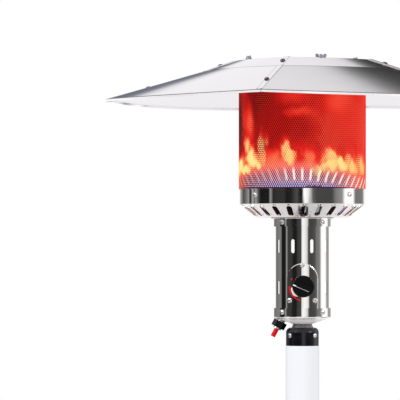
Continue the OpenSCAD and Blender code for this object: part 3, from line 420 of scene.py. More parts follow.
    def bump(self, height, strength, distance):
        made = self.node("ShaderNodeBump")
        made.inputs["Strength"].default_value = strength
        made.inputs["Distance"].default_value = distance
        self.tree.links.new(height, made.inputs["Height"])
        self.tree.links.new(made.outputs["Normal"], self.shader.inputs["Normal"])

    def base(self, value):
        self.feed(self.shader.inputs["Base Color"], value)

    def roughness(self, value):
        self.feed(self.shader.inputs["Roughness"], value)

    def emission(self, value, strength=1.0):
        self.feed(self.shader.inputs["Emission Color"], value)
        self.feed(self.shader.inputs["Emission Strength"], strength)
        self.material.cycles.emission_sampling = "NONE"


def at_azimuth(degrees, radius, z=0.0):
    """A point round the post, from the front towards +X."""
    turn = math.radians(degrees)
    return Vector((radius * math.sin(turn), -radius * math.cos(turn), z))


def stops_between(low, high, stops):
    """Stops of a ramp, moved from a range of values to 0 to 1."""
    return [((value - low) / (high - low), shade_there) for value, shade_there in stops]


def dress(finish, *nodes):
    """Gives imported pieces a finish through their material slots."""
    for name in nodes:
        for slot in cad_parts[name].material_slots:
            slot.material = finish.material


def shade(base, factor):
    """A colour made lighter or darker."""
    return tuple(min(1.0, channel * factor) for channel in base)


# Finishes


def gloss_enamel(base):
    """Baked gloss enamel: a little orange peel, a thin clear coat and faint dust."""
    made = Finish("gloss enamel", base, roughness=0.14, Specular_IOR_Level=0.35, Coat_Weight=0.1,
                  Coat_Roughness=0.03)
    dust = made.noise(made.coords(), 60, 4, 0.6)
    made.base(made.mix(made.spread(dust, 0.45, 0.8, 0.0, 0.35), base, shade(base, 2.2)))
    made.roughness(made.spread(dust, 0.3, 0.8, 0.12, 0.24))
    made.bump(made.noise(made.coords(), 260, 2, 0.5), 0.06, 0.0004)
    return made


def housing_paint(base):
    """Satin powder coat with a fine even texture."""
    made = Finish("housing paint", base, roughness=0.34, Coat_Weight=0.25, Coat_Roughness=0.2)
    cloud = made.noise(made.coords(), 9, 3, 0.5)
    made.base(made.mix(cloud, shade(base, 0.85), shade(base, 1.2)))
    made.roughness(made.spread(cloud, 0.3, 0.7, 0.30, 0.38))
    made.bump(made.noise(made.coords(), 900, 2, 0.6), 0.12, 0.0003)
    return made


def sleeve_paint(base):
    """White satin film on the post."""
    made = Finish("sleeve film", base, roughness=0.42, Coat_Weight=0.2, Coat_Roughness=0.3)
    drift = made.noise(made.coords(scale=(1, 1, 0.15)), 40, 3, 0.5)
    made.base(made.mix(drift, shade(base, 0.95), base))
    made.bump(drift, 0.04, 0.0004)
    return made


def mirror_steel(name, base, roughness=0.025, ripple=0.00016, relief=None, satin_r=0.0):
    """Polished steel with a gentle ripple and hairline marks round the piece, satin within satin_r."""
    made = Finish(name, base, metallic=1.0, roughness=roughness)
    hair = made.noise(made.coords(scale=(1, 1, 26)), 34, 4, 0.7)
    smudge = made.noise(made.coords(), 26, 3, 0.55)
    made.base(made.mix(made.spread(smudge, 0.35, 0.75, 0.0, 0.5), base, shade(base, 0.9)))
    polish = made.sum("ADD", made.spread(hair, 0.3, 0.8, roughness * 0.7, roughness * 1.5),
                      made.spread(smudge, 0.45, 0.75, 0.0, 0.02))
    if satin_r:
        x, y, _ = made.axes()
        polish = made.sum("ADD", polish, made.spread(made.length(x, y), satin_r, satin_r * 0.9, 0.0, 0.4))
        steel = made.spread(made.length(x, y), satin_r * 0.9, satin_r, 0.1, 1.0)
        made.feed(made.shader.inputs["Metallic"], steel)
    made.roughness(polish)
    height = made.sum("MULTIPLY", made.noise(made.coords(scale=(1, 1, 0.35)), 16, 1, 0.4), ripple)
    made.bump(made.sum("ADD", height, relief(made)) if relief else height, 1.0, 1.0)
    return made


def rolled_edge(sizes):
    """Relief of the control panel's edge: it falls away outwards along the sides and the arch."""
    def relief(made):
        x, _, z = made.axes()
        rise = made.sum("MAXIMUM", made.sum("SUBTRACT", z, PANEL_LOW.z + sizes.panel_arch), 0.0)
        out = made.length(x, rise)
        lit = made.spread(x, 0.0, PANEL_HIGH.x * 0.5, 0.04, 0.4)
        return made.sum("MULTIPLY", lit, made.spread(out, PANEL_HIGH.x, PANEL_HIGH.x - sizes.panel_roll, 0.0,
                                                     sizes.panel_roll))
    return relief


def brushed_aluminium(name, base, turn, sizes, roughness=0.10):
    """Mill-finish aluminium of one reflector panel, with painted shade along its pressed crease and its
    lap's edge, a painted shadow line under its hem and a painted highlight on the lip below it.
    """
    made = Finish(name, base, metallic=1.0, roughness=roughness)
    lines = made.noise(made.coords(scale=(1, 14, 14)), 30, 5, 0.75)
    cloud = made.noise(made.coords(), 5, 2, 0.5)
    # In its own axes the panel runs from its seam on +X to the next seam on +Y
    own = made.node("ShaderNodeSeparateXYZ")
    made.feed(own.inputs["Vector"], made.coords(rotation=(0, 0, turn)))
    x, y, z = (own.outputs[axis] for axis in "XYZ")
    back = sizes.petal_offset / math.sqrt(2)
    from_axis = made.length(made.sum("ADD", x, back), made.sum("ADD", y, back))
    crease_d, rim_d = math.hypot(sizes.crease_r + back, back), math.hypot(RIM_R + back, back)
    slope = (sizes.rim_drop - sizes.crease_drop) / (rim_d - crease_d)
    # Painted shade: dark lines along the pressed crease and the lap's edge, and a painted shadow line at the
    # top of the lip under the hem; the lower lip is lightened as a painted highlight
    crease = made.sum("MULTIPLY", made.near(from_axis, crease_d, 0.0012, 0.0024), 0.72)
    edge = made.sum("MULTIPLY", made.near(y, 0.0008 - sizes.lap_w, 0.0004, 0.0014),
                    made.spread(from_axis, crease_d, crease_d + 0.002, 0.0, 0.5))
    fall = made.sum("MULTIPLY", made.sum("SUBTRACT", from_axis, crease_d), slope)
    depth = made.sum("SUBTRACT", HUB_Z - sizes.crease_drop, made.sum("ADD", fall, z))
    lip = made.sum("MULTIPLY", made.spread(made.length(x, y), RIM_R - 0.002, RIM_R - 0.0012),
                   made.spread(y, -0.0004, 0.0004))
    hem_shadow = made.sum("MULTIPLY", made.near(depth, 0.0013, 0.0006, 0.0014), lip)
    lip_highlight = made.sum("MULTIPLY", made.spread(depth, 0.0022, 0.0030), lip)
    plain = made.mix(made.sum("MULTIPLY", lines, 0.4), shade(base, 0.97), base)
    with_painted_light = made.mix(made.sum("MAXIMUM", made.sum("MAXIMUM", crease, edge), made.sum("MULTIPLY", hem_shadow, 0.9)),
                      made.mix(lip_highlight, plain, (0.97, 0.96, 0.97)), shade(base, 0.1))
    made.base(with_painted_light)
    made.roughness(made.sum("ADD", made.spread(lines, 0.3, 0.7, roughness * 0.9, roughness * 1.1),
                            made.spread(cloud, 0.3, 0.7, -0.02, 0.02)))
    made.bump(cloud, 0.04, 0.004)
    return made


def plain_metal(name, base, roughness=0.3, grain=300):
    """Turned, plated or rolled metal with a fine grain."""
    made = Finish(name, base, metallic=1.0, roughness=roughness)
    speck = made.noise(made.coords(), grain, 3, 0.6)
    made.base(made.mix(speck, shade(base, 0.8), shade(base, 1.1)))
    made.roughness(made.spread(speck, 0.3, 0.7, roughness * 0.8, roughness * 1.25))
    made.bump(speck, 0.05, 0.0003)
    return made


def moulded_plastic(name, base, roughness=0.35, grain=700, gloss=0.3):
    """Moulded plastic or rubber with a fine grain."""
    made = Finish(name, base, roughness=roughness, Specular_IOR_Level=gloss)
    speck = made.noise(made.coords(), grain, 2, 0.5)
    made.base(made.mix(speck, shade(base, 0.85), shade(base, 1.25)))
    made.roughness(made.spread(speck, 0.3, 0.7, roughness * 0.85, roughness * 1.15))
    made.bump(speck, 0.08, 0.0003)
    return made


def above_edge(made):
    """Height above the emitter's lower edge."""
    return made.sum("SUBTRACT", made.axes()[2], SCREEN_LOW.z)


def port_arch(made):
    """1 at the front and the back, and 0 at the sides."""
    across = made.sum("COSINE", made.sum("ADD", made.azimuth(), 0.2))
    return made.sum("POWER", made.sum("ABSOLUTE", across), 1.5)


def above_ports(made):
    """Height above the ring of ports, which is painted higher at the front and the back."""
    ring = made.sum("ADD", made.sum("MULTIPLY", port_arch(made), PORT_RISE), PORT_Z)
    return made.sum("SUBTRACT", above_edge(made), ring)


def jet_streaks(made, count, height):
    """Bright streaks that lean apart towards the sides, one in front of each port."""
    turn = made.azimuth()
    lean = made.sum("MULTIPLY", made.sum("SINE", turn), made.sum("MULTIPLY", height, 7.0))
    wave = made.sum("COSINE", made.sum("MULTIPLY", made.sum("SUBTRACT", turn, lean), float(count)))
    core = made.sum("MULTIPLY", made.spread(height, -0.009, -0.002), made.spread(height, 0.022, 0.011))
    core = made.sum("MULTIPLY", core, made.spread(turn, -0.4, -0.15, 0.3, 1.0))
    return made.sum("MULTIPLY", made.spread(wave, 0.4, 0.9), core)


def heat(made, of_the_sheet):
    """How hot the sheet or the gas behind it looks, from 0 to 1."""
    lick = made.noise(made.coords(scale=(1, 1, 0.5), location=(0.115, 0, 0)), 24, 3, 0.55)
    if of_the_sheet:
        around = made.share(made.azimuth(), -math.pi, math.pi)
        base = made.ramp(around, stops_between(-180, 180, SHEET_HEAT))
        total = made.sum("ADD", made.tone(base), made.spread(lick, 0.3, 0.7, -0.10, 0.10))
    else:
        total = made.spread(lick, 0.5, 0.8, 0.0, 0.14)
    vector = made.warped(22, (0.03, 0.03, 0.05))
    for turn, height, wide, tall, gas, sheet in CLOUDS:
        middle = at_azimuth(turn, SCREEN_HIGH.x * 0.97, SCREEN_LOW.z + height)
        here = made.spot(vector, middle, (wide, wide, tall))
        total = made.blend(here, total, sheet if of_the_sheet else gas)
    above = made.sum("ADD", above_edge(made), made.spread(lick, 0.3, 0.7, -0.024, 0.024))
    band = made.sum("MULTIPLY", made.spread(above, 0.092, 0.036), 0.72 if of_the_sheet else 0.80)
    total = made.sum("MAXIMUM", total, band)
    vector = made.warped(42, (0.030, 0.030, 0.060))
    for turn, height, wide, tall, gas, sheet in TONGUES:
        middle = at_azimuth(turn, SCREEN_HIGH.x * 0.97, SCREEN_LOW.z + height)
        flame = made.spot(vector, middle, (wide, wide, tall))
        total = made.sum("MAXIMUM", total, made.sum("MULTIPLY", flame, sheet if of_the_sheet else gas))
    return total


def hot_emitter(steel, sizes):
    """Perforated steel heated from within: maroon to orange, yellow over the flames, purple at its foot,
    with the jets' glow painted on it as pale streaks.
    """
    made = Finish("hot emitter steel", shade(steel, 0.01), roughness=0.6, Specular_IOR_Level=0.05)
    height = above_ports(made)
    level = heat(made, True)
    dusk = made.ramp(made.spread(height, -0.020, 0.024), [
        (0.0, (0.004, 0.006, 0.05)), (0.25, (0.02, 0.008, 0.03)), (0.6, (0.09, 0.014, 0.035)),
        (1.0, (0.66, 0.05, 0.045))])
    low = made.sum("MULTIPLY", made.spread(height, 0.026, 0.010), made.spread(level, 1.0, 0.82, 0.3, 0.94))
    low = made.sum("MULTIPLY", low, made.spread(port_arch(made), 0.1, 0.7, 0.15, 1.0))
    # The gas jets' glow, painted on the sheet as pale streaks
    streaks = made.sum("MULTIPLY", jet_streaks(made, sizes.jet_count, height), 0.92)
    made.emission(made.mix(streaks, made.mix(low, made.ramp(level, HEAT_COLOURS), dusk), (1.0, 0.86, 0.72)))
    scale = made.noise(made.coords(), 90, 4, 0.6)
    made.base(made.mix(scale, shade(steel, 0.005), shade(steel, 0.03)))
    made.bump(made.noise(made.coords(), 400, 2, 0.5), 0.1, 0.0003)
    return made


def flame_light(sizes):
    """What shows through the emitter's holes: dark gas, pale yellow flames, pink and blue ports."""
    made = Finish("flame light", (0.004, 0.002, 0.001), roughness=0.9, Specular_IOR_Level=0.05)
    height = above_ports(made)
    level = heat(made, False)
    foot = made.ramp(made.spread(height, -0.020, 0.022), [
        (0.0, (0.34, 0.54, 1.0)), (0.14, (0.9, 0.62, 1.0)), (0.32, (1.0, 0.50, 0.70)),
        (0.75, (1.0, 0.36, 0.44)), (1.0, (1.0, 0.34, 0.28))])
    low = made.sum("MULTIPLY", made.spread(height, 0.036, 0.018), made.spread(level, 1.1, 0.9, 0.3, 1.0))
    here = made.mix(low, made.ramp(level, HEAT_COLOURS), foot)
    made.emission(made.mix(jet_streaks(made, sizes.jet_count, height), here, (1.0, 0.92, 0.80)))
    return made


# Mesh helpers


def piece(name, bm, finish, body, smooth=True):
    """Turns a bmesh into a finished piece that rides on a body."""
    mesh = bpy.data.meshes.new(name)
    bm.to_mesh(mesh)
    bm.free()
    mesh.materials.append(finish.material)
    if smooth:
        mesh.shade_smooth()
    made = bpy.data.objects.new(name, mesh)
    bpy.context.collection.objects.link(made)
    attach(made, body)
    return made


def perforated_sheet(columns, rows, pitch, hole_d, low, high):
    """A flat sheet in X and Z with hexagonal holes in staggered rows and plain margins."""
    bm = bmesh.new()
    rim = bmesh.ops.create_circle(bm, segments=6, radius=pitch / math.sqrt(3))["verts"]
    hole = bmesh.ops.create_circle(bm, segments=6, radius=hole_d / 2)["verts"]
    edges = {e for v in rim + hole for e in v.link_edges}
    bmesh.ops.bridge_loops(bm, edges=list(edges))
    bmesh.ops.rotate(bm, verts=bm.verts, cent=(0, 0, 0), matrix=Matrix.Rotation(math.pi / 2, 3, "X"))
    row_step = pitch * math.sqrt(3) / 2
    first = low + (high - low - (rows - 1) * row_step) / 2
    bmesh.ops.translate(bm, verts=bm.verts, vec=(0, 0, first))
    tile = bm.verts[:] + bm.edges[:] + bm.faces[:]
    for column in range(1, columns):
        copy = bmesh.ops.duplicate(bm, geom=tile)["geom"]
        moved = [v for v in copy if isinstance(v, bmesh.types.BMVert)]
        bmesh.ops.translate(bm, verts=moved, vec=(column * pitch, 0, 0))
    line = bm.verts[:] + bm.edges[:] + bm.faces[:]
    for row in range(1, rows):
        copy = bmesh.ops.duplicate(bm, geom=line)["geom"]
        moved = [v for v in copy if isinstance(v, bmesh.types.BMVert)]
        bmesh.ops.translate(bm, verts=moved, vec=(row % 2 * pitch / 2, 0, row * row_step))
    bmesh.ops.remove_doubles(bm, verts=bm.verts, dist=pitch * 0.02)
    last = first + (rows - 1) * row_step
    for edge_z, sign in ((low, -1), (high, 1)):
        reach = (first if sign < 0 else last) + sign * pitch * 0.2
        teeth = [e for e in bm.edges if e.is_boundary and all((v.co.z - reach) * sign > 0 for v in e.verts)]
        made = bmesh.ops.extrude_edge_only(bm, edges=teeth)["geom"]
        for vert in (v for v in made if isinstance(v, bmesh.types.BMVert)):
            vert.co.z = edge_z
    bmesh.ops.recalc_face_normals(bm, faces=bm.faces)
    return bm


def wrap_round_post(bm, radius, start):
    """Rolls a flat sheet into a cylinder wall about the post."""
    for vert in bm.verts:
        turn = start + vert.co.x / radius
        vert.co = Vector((radius * math.sin(turn), -radius * math.cos(turn), vert.co.z))
    bmesh.ops.recalc_face_normals(bm, faces=bm.faces)
    face = next(iter(bm.faces))
    if face.normal.dot(Vector((face.calc_center_median().x, face.calc_center_median().y, 0))) < 0:
        bmesh.ops.reverse_faces(bm, faces=bm.faces)


def emitter_half(name, start, finish, sizes):
    """Half of the perforated emitter, from one side seam to the other."""
    radius = SCREEN_HIGH.x - sizes.sheet_t * 0.1
    pitch = math.pi * radius / sizes.hole_columns
    tall = SCREEN_HIGH.z - SCREEN_LOW.z
    rows = int((tall - 1.2 * pitch) / (pitch * math.sqrt(3) / 2)) + 1
    sheet = perforated_sheet(sizes.hole_columns, rows, pitch, sizes.hole_d, SCREEN_LOW.z, SCREEN_HIGH.z)
    wrap_round_post(sheet, radius, start)
    made = piece(name, sheet, finish, "heater_frame", smooth=False)
    wall = made.modifiers.new("sheet wall", "SOLIDIFY")
    wall.thickness = sizes.sheet_t
    wall.offset = -1
    return made


def turned(bm, outline, steps):
    """Spins an outline of (radius, height) points about Z into a closed skin."""
    verts = [bm.verts.new((0, -radius, height)) for radius, height in outline]
    edges = [bm.edges.new(pair) for pair in zip(verts, verts[1:])]
    bmesh.ops.spin(bm, geom=verts + edges, cent=(0, 0, 0), axis=(0, 0, 1), angle=math.tau, steps=steps,
                   use_merge=True)
    bmesh.ops.remove_doubles(bm, verts=bm.verts, dist=1e-5)
    bmesh.ops.recalc_face_normals(bm, faces=bm.faces)


def flame_curtain(finish, sizes):
    """The gas that burns inside the emitter, as a tube drawn in at both ends."""
    radius = SCREEN_HIGH.x - sizes.flame_gap
    outline = [
        (radius - 0.006, SCREEN_LOW.z + 0.004), (radius, SCREEN_LOW.z + 0.016),
        (radius, SCREEN_LOW.z + 0.05), (radius - 0.002, SCREEN_HIGH.z - 0.02),
        (radius - 0.012, SCREEN_HIGH.z - 0.012),
    ]
    bm = bmesh.new()
    turned(bm, outline, 96)
    return piece("flame_curtain", bm, finish, "heater_frame")


def knob_pointer_and_highlight(finish):
    """White mark at the end of the knob's grip, and a white hairline along the grip's lower edge that is a
    painted highlight of that edge.
    """
    centre_x, centre_z = (KNOB_LOW.x + KNOB_HIGH.x) / 2, (KNOB_LOW.z + KNOB_HIGH.z) / 2
    reach = (KNOB_HIGH.x - KNOB_LOW.x) / 2
    bm = bmesh.new()
    # The first bar is the white mark; the second, thin bar is a painted highlight along the grip's lower
    # edge
    for start, end, width in ((0.62, 0.93, 0.0022), (-0.68, 0.70, 0.0005)):
        bar = bmesh.ops.create_cube(bm, size=1)["verts"]
        bmesh.ops.scale(bm, verts=bar, vec=(reach * (end - start), 0.0006, width))
        bmesh.ops.translate(bm, verts=bar, vec=(reach * (start + end) / 2, 0, GRIP_HALF_W - width * 0.4))
    bmesh.ops.bevel(bm, geom=bm.edges[:], offset=0.0001, affect="EDGES", segments=2, profile=0.5,
                    material=-1)
    turn = Matrix.Rotation(math.radians(KNOB_TURN), 3, "Y")
    bmesh.ops.rotate(bm, verts=bm.verts, cent=(0, 0, 0), matrix=turn)
    bmesh.ops.translate(bm, verts=bm.verts, vec=(centre_x, KNOB_LOW.y + 0.0002, centre_z))
    return piece("knob_pointer_and_highlight", bm, finish, "knob")


def scale_backing(finish):
    """White crescent between the knob and the red heat scale, bent to the panel."""
    centre_x, centre_z = (KNOB_LOW.x + KNOB_HIGH.x) / 2, (KNOB_LOW.z + KNOB_HIGH.z) / 2
    knob_r, face_r = (KNOB_HIGH.x - KNOB_LOW.x) / 2, -SCALE_LOW.y
    start, sweep, wide = CRESCENT
    bm = bmesh.new()
    bmesh.ops.create_grid(bm, x_segments=24, y_segments=1, size=0.5)
    for vert in bm.verts:
        along, across = vert.co.x + 0.5, vert.co.y + 0.5
        turn = math.radians(start + sweep * along)
        radius = knob_r + 0.0004 + across * wide * math.sin(math.pi * (0.06 + 0.88 * along)) ** 0.8
        x, z = centre_x + radius * math.cos(turn), centre_z + radius * math.sin(turn)
        vert.co = Vector((x, -math.sqrt(face_r ** 2 - x ** 2), z))
    bmesh.ops.recalc_face_normals(bm, faces=bm.faces)
    bmesh.ops.solidify(bm, geom=bm.faces[:], thickness=0.0003)
    bmesh.ops.recalc_face_normals(bm, faces=bm.faces)
    return piece("scale_backing", bm, finish, "heater_frame")


# Stage


def studio_wall(name, low, high, shades, rises, inwards=None):
    """Part of a round wall, or a floor apron, shaded by azimuth and height; only reflections see it."""
    first, last = shades[0][0], shades[-1][0]
    made = Finish(name, (0, 0, 0), roughness=1.0)
    turn = made.sum("MULTIPLY", made.azimuth(), 180 / math.pi)
    if last > 180:
        turn = made.sum("WRAP", turn, 360.0)
        made.feed(turn.node.inputs[2], 0.0)
    light = made.ramp(made.share(turn, first, last), stops_between(first, last, shades))
    if rises:
        upwards = made.ramp(made.share(made.axes()[2], low, high), stops_between(low, high, rises))
        light = made.mix(1.0, light, upwards, blend="LIGHTEN")
    if inwards:
        # Seen white by what is reflected twice, so that the reflector's inside stays light
        bounces = made.node("ShaderNodeLightPath").outputs["Ray Depth"]
        light = made.mix(made.spread(bounces, 1.4, 1.6), light, (0.8, 0.8, 0.8))
    made.emission(light, WALL_STRENGTH)
    bm = bmesh.new()
    ends = ((inwards or WALL_R, low), (WALL_R, high))
    verts = [bm.verts.new(at_azimuth(first, radius, z)) for radius, z in ends]
    edge = bm.edges.new(verts)
    bmesh.ops.spin(bm, geom=verts + [edge], cent=(0, 0, 0), axis=(0, 0, 1), angle=math.radians(last - first),
                   steps=max(8, int(last - first) // 4))
    mesh = bpy.data.meshes.new(name)
    bm.to_mesh(mesh)
    bm.free()
    mesh.materials.append(made.material)
    wall = bpy.data.objects.new(name, mesh)
    bpy.context.collection.objects.link(wall)
    for ray in ("camera", "diffuse", "transmission", "volume_scatter", "shadow"):
        setattr(wall, "visible_" + ray, False)


def studio_floor():
    """A pale floor that keeps the heater's shadow and fades to white far away."""
    made = Finish("studio floor", (0.92, 0.92, 0.92), roughness=0.7)
    x, y, _ = made.axes()
    white = made.node("ShaderNodeEmission")
    blend = made.node("ShaderNodeMixShader")
    made.feed(blend.inputs[0], made.spread(made.length(x, y), *FLOOR_FADE))
    made.feed(blend.inputs[1], made.shader.outputs["BSDF"])
    made.feed(blend.inputs[2], white.outputs["Emission"])
    made.feed(made.tree.nodes["Material Output"].inputs["Surface"], blend.outputs["Shader"])
    made.material.cycles.emission_sampling = "NONE"
    bm = bmesh.new()
    bmesh.ops.create_circle(bm, segments=96, radius=70, cap_ends=True)
    mesh = bpy.data.meshes.new("studio_floor")
    bm.to_mesh(mesh)
    bm.free()
    mesh.materials.append(made.material)
    floor = bpy.data.objects.new("studio_floor", mesh)
    bpy.context.collection.objects.link(floor)


def studio_air():
    """White for the camera, for metal and for glass, and soft level light for everything else."""
    world = bpy.data.worlds.new("studio air")
    bpy.context.scene.world = world
    world.use_nodes = True
    tree = world.node_tree
    rays = tree.nodes.new("ShaderNodeLightPath")
    seen = tree.nodes.new("ShaderNodeMath")
    seen.operation = "MAXIMUM"
    tree.links.new(rays.outputs["Is Camera Ray"], seen.inputs[0])
    mirrored = tree.nodes.new("ShaderNodeMath")
    mirrored.operation = "MAXIMUM"
    tree.links.new(rays.outputs["Is Glossy Ray"], mirrored.inputs[0])
    tree.links.new(rays.outputs["Is Transmission Ray"], mirrored.inputs[1])
    tree.links.new(mirrored.outputs[0], seen.inputs[1])
    strength = tree.nodes.new("ShaderNodeMapRange")
    strength.inputs["To Min"].default_value = 0.62
    strength.inputs["To Max"].default_value = 1.0
    tree.links.new(seen.outputs[0], strength.inputs["Value"])
    tree.links.new(strength.outputs["Result"], tree.nodes["Background"].inputs["Strength"])
    tree.nodes["Background"].inputs["Color"].default_value = (1, 1, 1, 1)


def studio_lamp(name, place, width, watts):
    """A square soft lamp."""
    data = bpy.data.lights.new(name, "AREA")
    data.energy, data.size = watts, width
    lamp = bpy.data.objects.new(name, data)
    lamp.location = place
    lamp.rotation_euler = (Vector(LAMP_TARGET) - Vector(place)).to_track_quat("-Z", "Y").to_euler()
    bpy.context.collection.objects.link(lamp)


def studio_camera(sizes):
    """The photo's camera: far off, level with the control housing."""
    data = bpy.data.cameras.new("camera")
    camera = bpy.data.objects.new("camera", data)
    bpy.context.collection.objects.link(camera)
    data.sensor_width = 36.0
    data.clip_end = 300.0
    data.lens, target = VIEWS[sizes.framing]
    camera.location = (0, -sizes.camera_y, sizes.camera_z)
    camera.rotation_euler = (Vector(target) - camera.location).to_track_quat("-Z", "Y").to_euler()
    bpy.context.scene.camera = camera


# Operators, one for each group of like pieces


class HeaterOperator:
    """What the operators share."""

    bl_options = {"REGISTER", "UNDO"}

    def execute(self, context):
        self.build(context.scene.heater_sizes, context.scene.heater_colours)
        return {"FINISHED"}


class HEATER_OT_stage(HeaterOperator, bpy.types.Operator):
    """Set up the camera, the floor, the lamps and the reflection cards"""

    bl_idname = "heater.stage"
    bl_label = "Studio"

    def build(self, sizes, colours):
        studio_camera(sizes)
        studio_floor()
        studio_air()
        for name, wall in WALLS.items():
            studio_wall(name, *wall)
        for lamp in LAMPS:
            studio_lamp(*lamp)
        bpy.context.scene.view_settings.view_transform = "Standard"


class HEATER_OT_enamel(HeaterOperator, bpy.types.Operator):
    """Finish the base, the lid, the post and its sleeve"""

    bl_idname = "heater.enamel"
    bl_label = "Enamelled pieces"

    def build(self, sizes, colours):
        dress(gloss_enamel(tuple(colours.enamel)), "base_pan", "housing_lid", "lid_collar", "lower_post",
              "upper_post", "post_cap")
        dress(sleeve_paint(tuple(colours.sleeve)), "white_sleeve")


class HEATER_OT_housing(HeaterOperator, bpy.types.Operator):
    """Finish the vent ring, the tank housing and its handles"""

    bl_idname = "heater.housing"
    bl_label = "Tank housing"

    def build(self, sizes, colours):
        dress(housing_paint(tuple(colours.housing)), "vent_ring", "housing_shell")
        dress(moulded_plastic("handle plastic", tuple(colours.plastic), 0.42), "handle_left", "handle_right")


class HEATER_OT_frame_steel(HeaterOperator, bpy.types.Operator):
    """Finish the legs, the plates and the wheels' bracket"""

    bl_idname = "heater.frame_steel"
    bl_label = "Frame steel"

    def build(self, sizes, colours):
        dress(plain_metal("dark steel", (0.09, 0.09, 0.10), 0.45), "leg_left", "leg_right", "leg_back",
              "foot_plate", "wheel_bracket")
        dress(plain_metal("galvanised steel", (0.42, 0.43, 0.46), 0.32, 90), "joint_sleeve", "lid_catch",
              "hub_plate", "wheel_axle", "pilot_bracket", "push_washer", "igniter_barrel")
        dress(plain_metal("neck steel", (0.22, 0.205, 0.225), 0.2, 14), "neck_tube")


class HEATER_OT_mirror_steel(HeaterOperator, bpy.types.Operator):
    """Finish the control housing, the collars, the burner pan and its band"""

    bl_idname = "heater.mirror_steel"
    bl_label = "Mirror steel"

    def build(self, sizes, colours):
        mirror = tuple(colours.mirror)
        dress(mirror_steel("mirror steel", mirror), "control_housing", "top_collar", "burner_band")
        dress(mirror_steel("dish steel", mirror, satin_r=DISH_SATIN_R), "bottom_dish")
        dress(mirror_steel("panel steel", shade(mirror, 0.98), relief=rolled_edge(sizes)), "control_panel")
        dress(mirror_steel("pan steel", mirror, 0.1, 0.00024), "burner_pan")


class HEATER_OT_reflector(HeaterOperator, bpy.types.Operator):
    """Finish the reflector's panels and the parts that hold them"""

    bl_idname = "heater.reflector"
    bl_label = "Reflector"

    def build(self, sizes, colours):
        for index, panel in enumerate(PANELS):
            turn = math.pi / 2 - math.radians(sizes.seam_turn + 90 * index)
            dress(brushed_aluminium("aluminium " + panel, tuple(colours.reflector), turn, sizes), panel)
        dress(plain_metal("stainless steel", (0.60, 0.58, 0.57), 0.28), "emitter_top")
        dress(plain_metal("cast zinc", (0.26, 0.27, 0.31), 0.24), "reflector_studs", "wing_nuts")
        dress(plain_metal("heat-tinted steel", (0.05, 0.04, 0.036), 0.5), "burner_head", "venturi_tube")


class HEATER_OT_gas_line(HeaterOperator, bpy.types.Operator):
    """Finish the gas line, the pilot's parts and the tilt switch"""

    bl_idname = "heater.gas_line"
    bl_label = "Gas line and pilot"

    def build(self, sizes, colours):
        dress(plain_metal("brass", (0.72, 0.47, 0.16), 0.26), "gas_inlet", "gas_valve", "gas_jet")
        dress(plain_metal("copper", (0.72, 0.30, 0.17), 0.25), "pilot_tube", "thermocouple")
        dress(moulded_plastic("ceramic", (0.80, 0.78, 0.74), 0.3, 120), "spark_electrode")
        dress(moulded_plastic("hose rubber", (0.014, 0.014, 0.015), 0.6, 240), "gas_hose")
        dress(moulded_plastic("switch plastic", (0.02, 0.05, 0.025), 0.4), "tilt_switch")


class HEATER_OT_fasteners(HeaterOperator, bpy.types.Operator):
    """Finish the bolts and the screws"""

    bl_idname = "heater.fasteners"
    bl_label = "Fasteners"

    def build(self, sizes, colours):
        dress(plain_metal("zinc", (0.72, 0.70, 0.72), 0.16), "leg_bolts", "head_screws", "pan_screws",
              "post_screws")
        dress(plain_metal("dark zinc", (0.16, 0.16, 0.17), 0.28), "lid_screws")
        dress(plain_metal("browned zinc", (0.10, 0.085, 0.08), 0.3), "reflector_screws")


class HEATER_OT_controls(HeaterOperator, bpy.types.Operator):
    """Finish the knob, the heat scale and the igniter, and add the white marks and a painted highlight along
    the knob's grip
    """

    bl_idname = "heater.controls"
    bl_label = "Controls"

    def build(self, sizes, colours):
        red = tuple(colours.red)
        dress(moulded_plastic("knob plastic", shade(colours.plastic, 0.2), 0.3, gloss=0.1), "control_knob")
        dress(moulded_plastic("black plastic", shade(colours.plastic, 0.2), 0.25, gloss=0.14), "igniter_nut")
        dress(moulded_plastic("red plastic", red, 0.3, gloss=0.12), "igniter_button")
        dress(moulded_plastic("red print", red, 0.45, gloss=0.1), "heat_scale")
        # This white paint also makes the painted highlight along the knob's grip
        paint = moulded_plastic("pointer paint", (0.85, 0.85, 0.85), 0.4)
        knob_pointer_and_highlight(paint)
        scale_backing(paint)


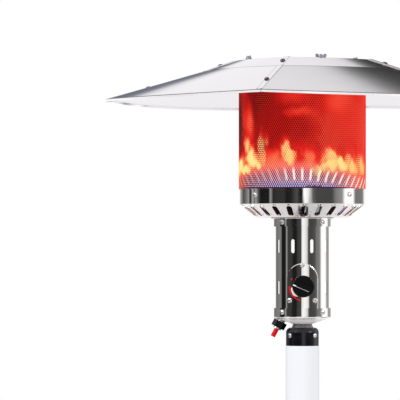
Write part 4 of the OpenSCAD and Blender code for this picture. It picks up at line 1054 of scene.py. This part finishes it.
class HEATER_OT_wheels(HeaterOperator, bpy.types.Operator):
    """Finish the transport wheels"""

    bl_idname = "heater.wheels"
    bl_label = "Wheels"

    def build(self, sizes, colours):
        dress(moulded_plastic("wheel plastic", (0.016, 0.016, 0.017), 0.5, 400), "wheel_left", "wheel_right")


class HEATER_OT_emitter(HeaterOperator, bpy.types.Operator):
    """Make the perforated emitter in two halves"""

    bl_idname = "heater.emitter"
    bl_label = "Perforated emitter"

    def build(self, sizes, colours):
        finish = hot_emitter(tuple(colours.steel), sizes)
        front = emitter_half("emitter_front", -math.pi / 2, finish, sizes)
        emitter_half("emitter_back", math.pi / 2, finish, sizes)
        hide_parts("emitter_screen")


class HEATER_OT_flames(HeaterOperator, bpy.types.Operator):
    """Make the flames inside the emitter"""

    bl_idname = "heater.flames"
    bl_label = "Flames"

    def build(self, sizes, colours):
        flame_curtain(flame_light(sizes), sizes)


OPERATORS = (
    HEATER_OT_stage, HEATER_OT_enamel, HEATER_OT_housing, HEATER_OT_frame_steel, HEATER_OT_mirror_steel,
    HEATER_OT_reflector, HEATER_OT_gas_line, HEATER_OT_fasteners, HEATER_OT_controls, HEATER_OT_wheels,
    HEATER_OT_emitter, HEATER_OT_flames,
)


class HEATER_PT_panel(bpy.types.Panel):
    """Sizes, colours and the operators in their order"""

    bl_label = "Patio heater"
    bl_idname = "HEATER_PT_panel"
    bl_space_type = "VIEW_3D"
    bl_region_type = "UI"
    bl_category = "Heater"

    def draw(self, context):
        for group in (context.scene.heater_sizes, context.scene.heater_colours):
            box = self.layout.box()
            for name in group.__annotations__:
                box.prop(group, name)
        for operator in OPERATORS:
            self.layout.operator(operator.bl_idname)


CLASSES = (HeaterSizes, HeaterColours, *OPERATORS, HEATER_PT_panel)


def register():
    for each in CLASSES:
        bpy.utils.register_class(each)
    bpy.types.Scene.heater_sizes = PointerProperty(type=HeaterSizes)
    bpy.types.Scene.heater_colours = PointerProperty(type=HeaterColours)


def unregister():
    del bpy.types.Scene.heater_colours
    del bpy.types.Scene.heater_sizes
    for each in reversed(CLASSES):
        bpy.utils.unregister_class(each)


def main():
    register()
    for operator in OPERATORS:
        group, name = operator.bl_idname.split(".")
        getattr(getattr(bpy.ops, group), name)()


if __name__ == "__main__":
    main()
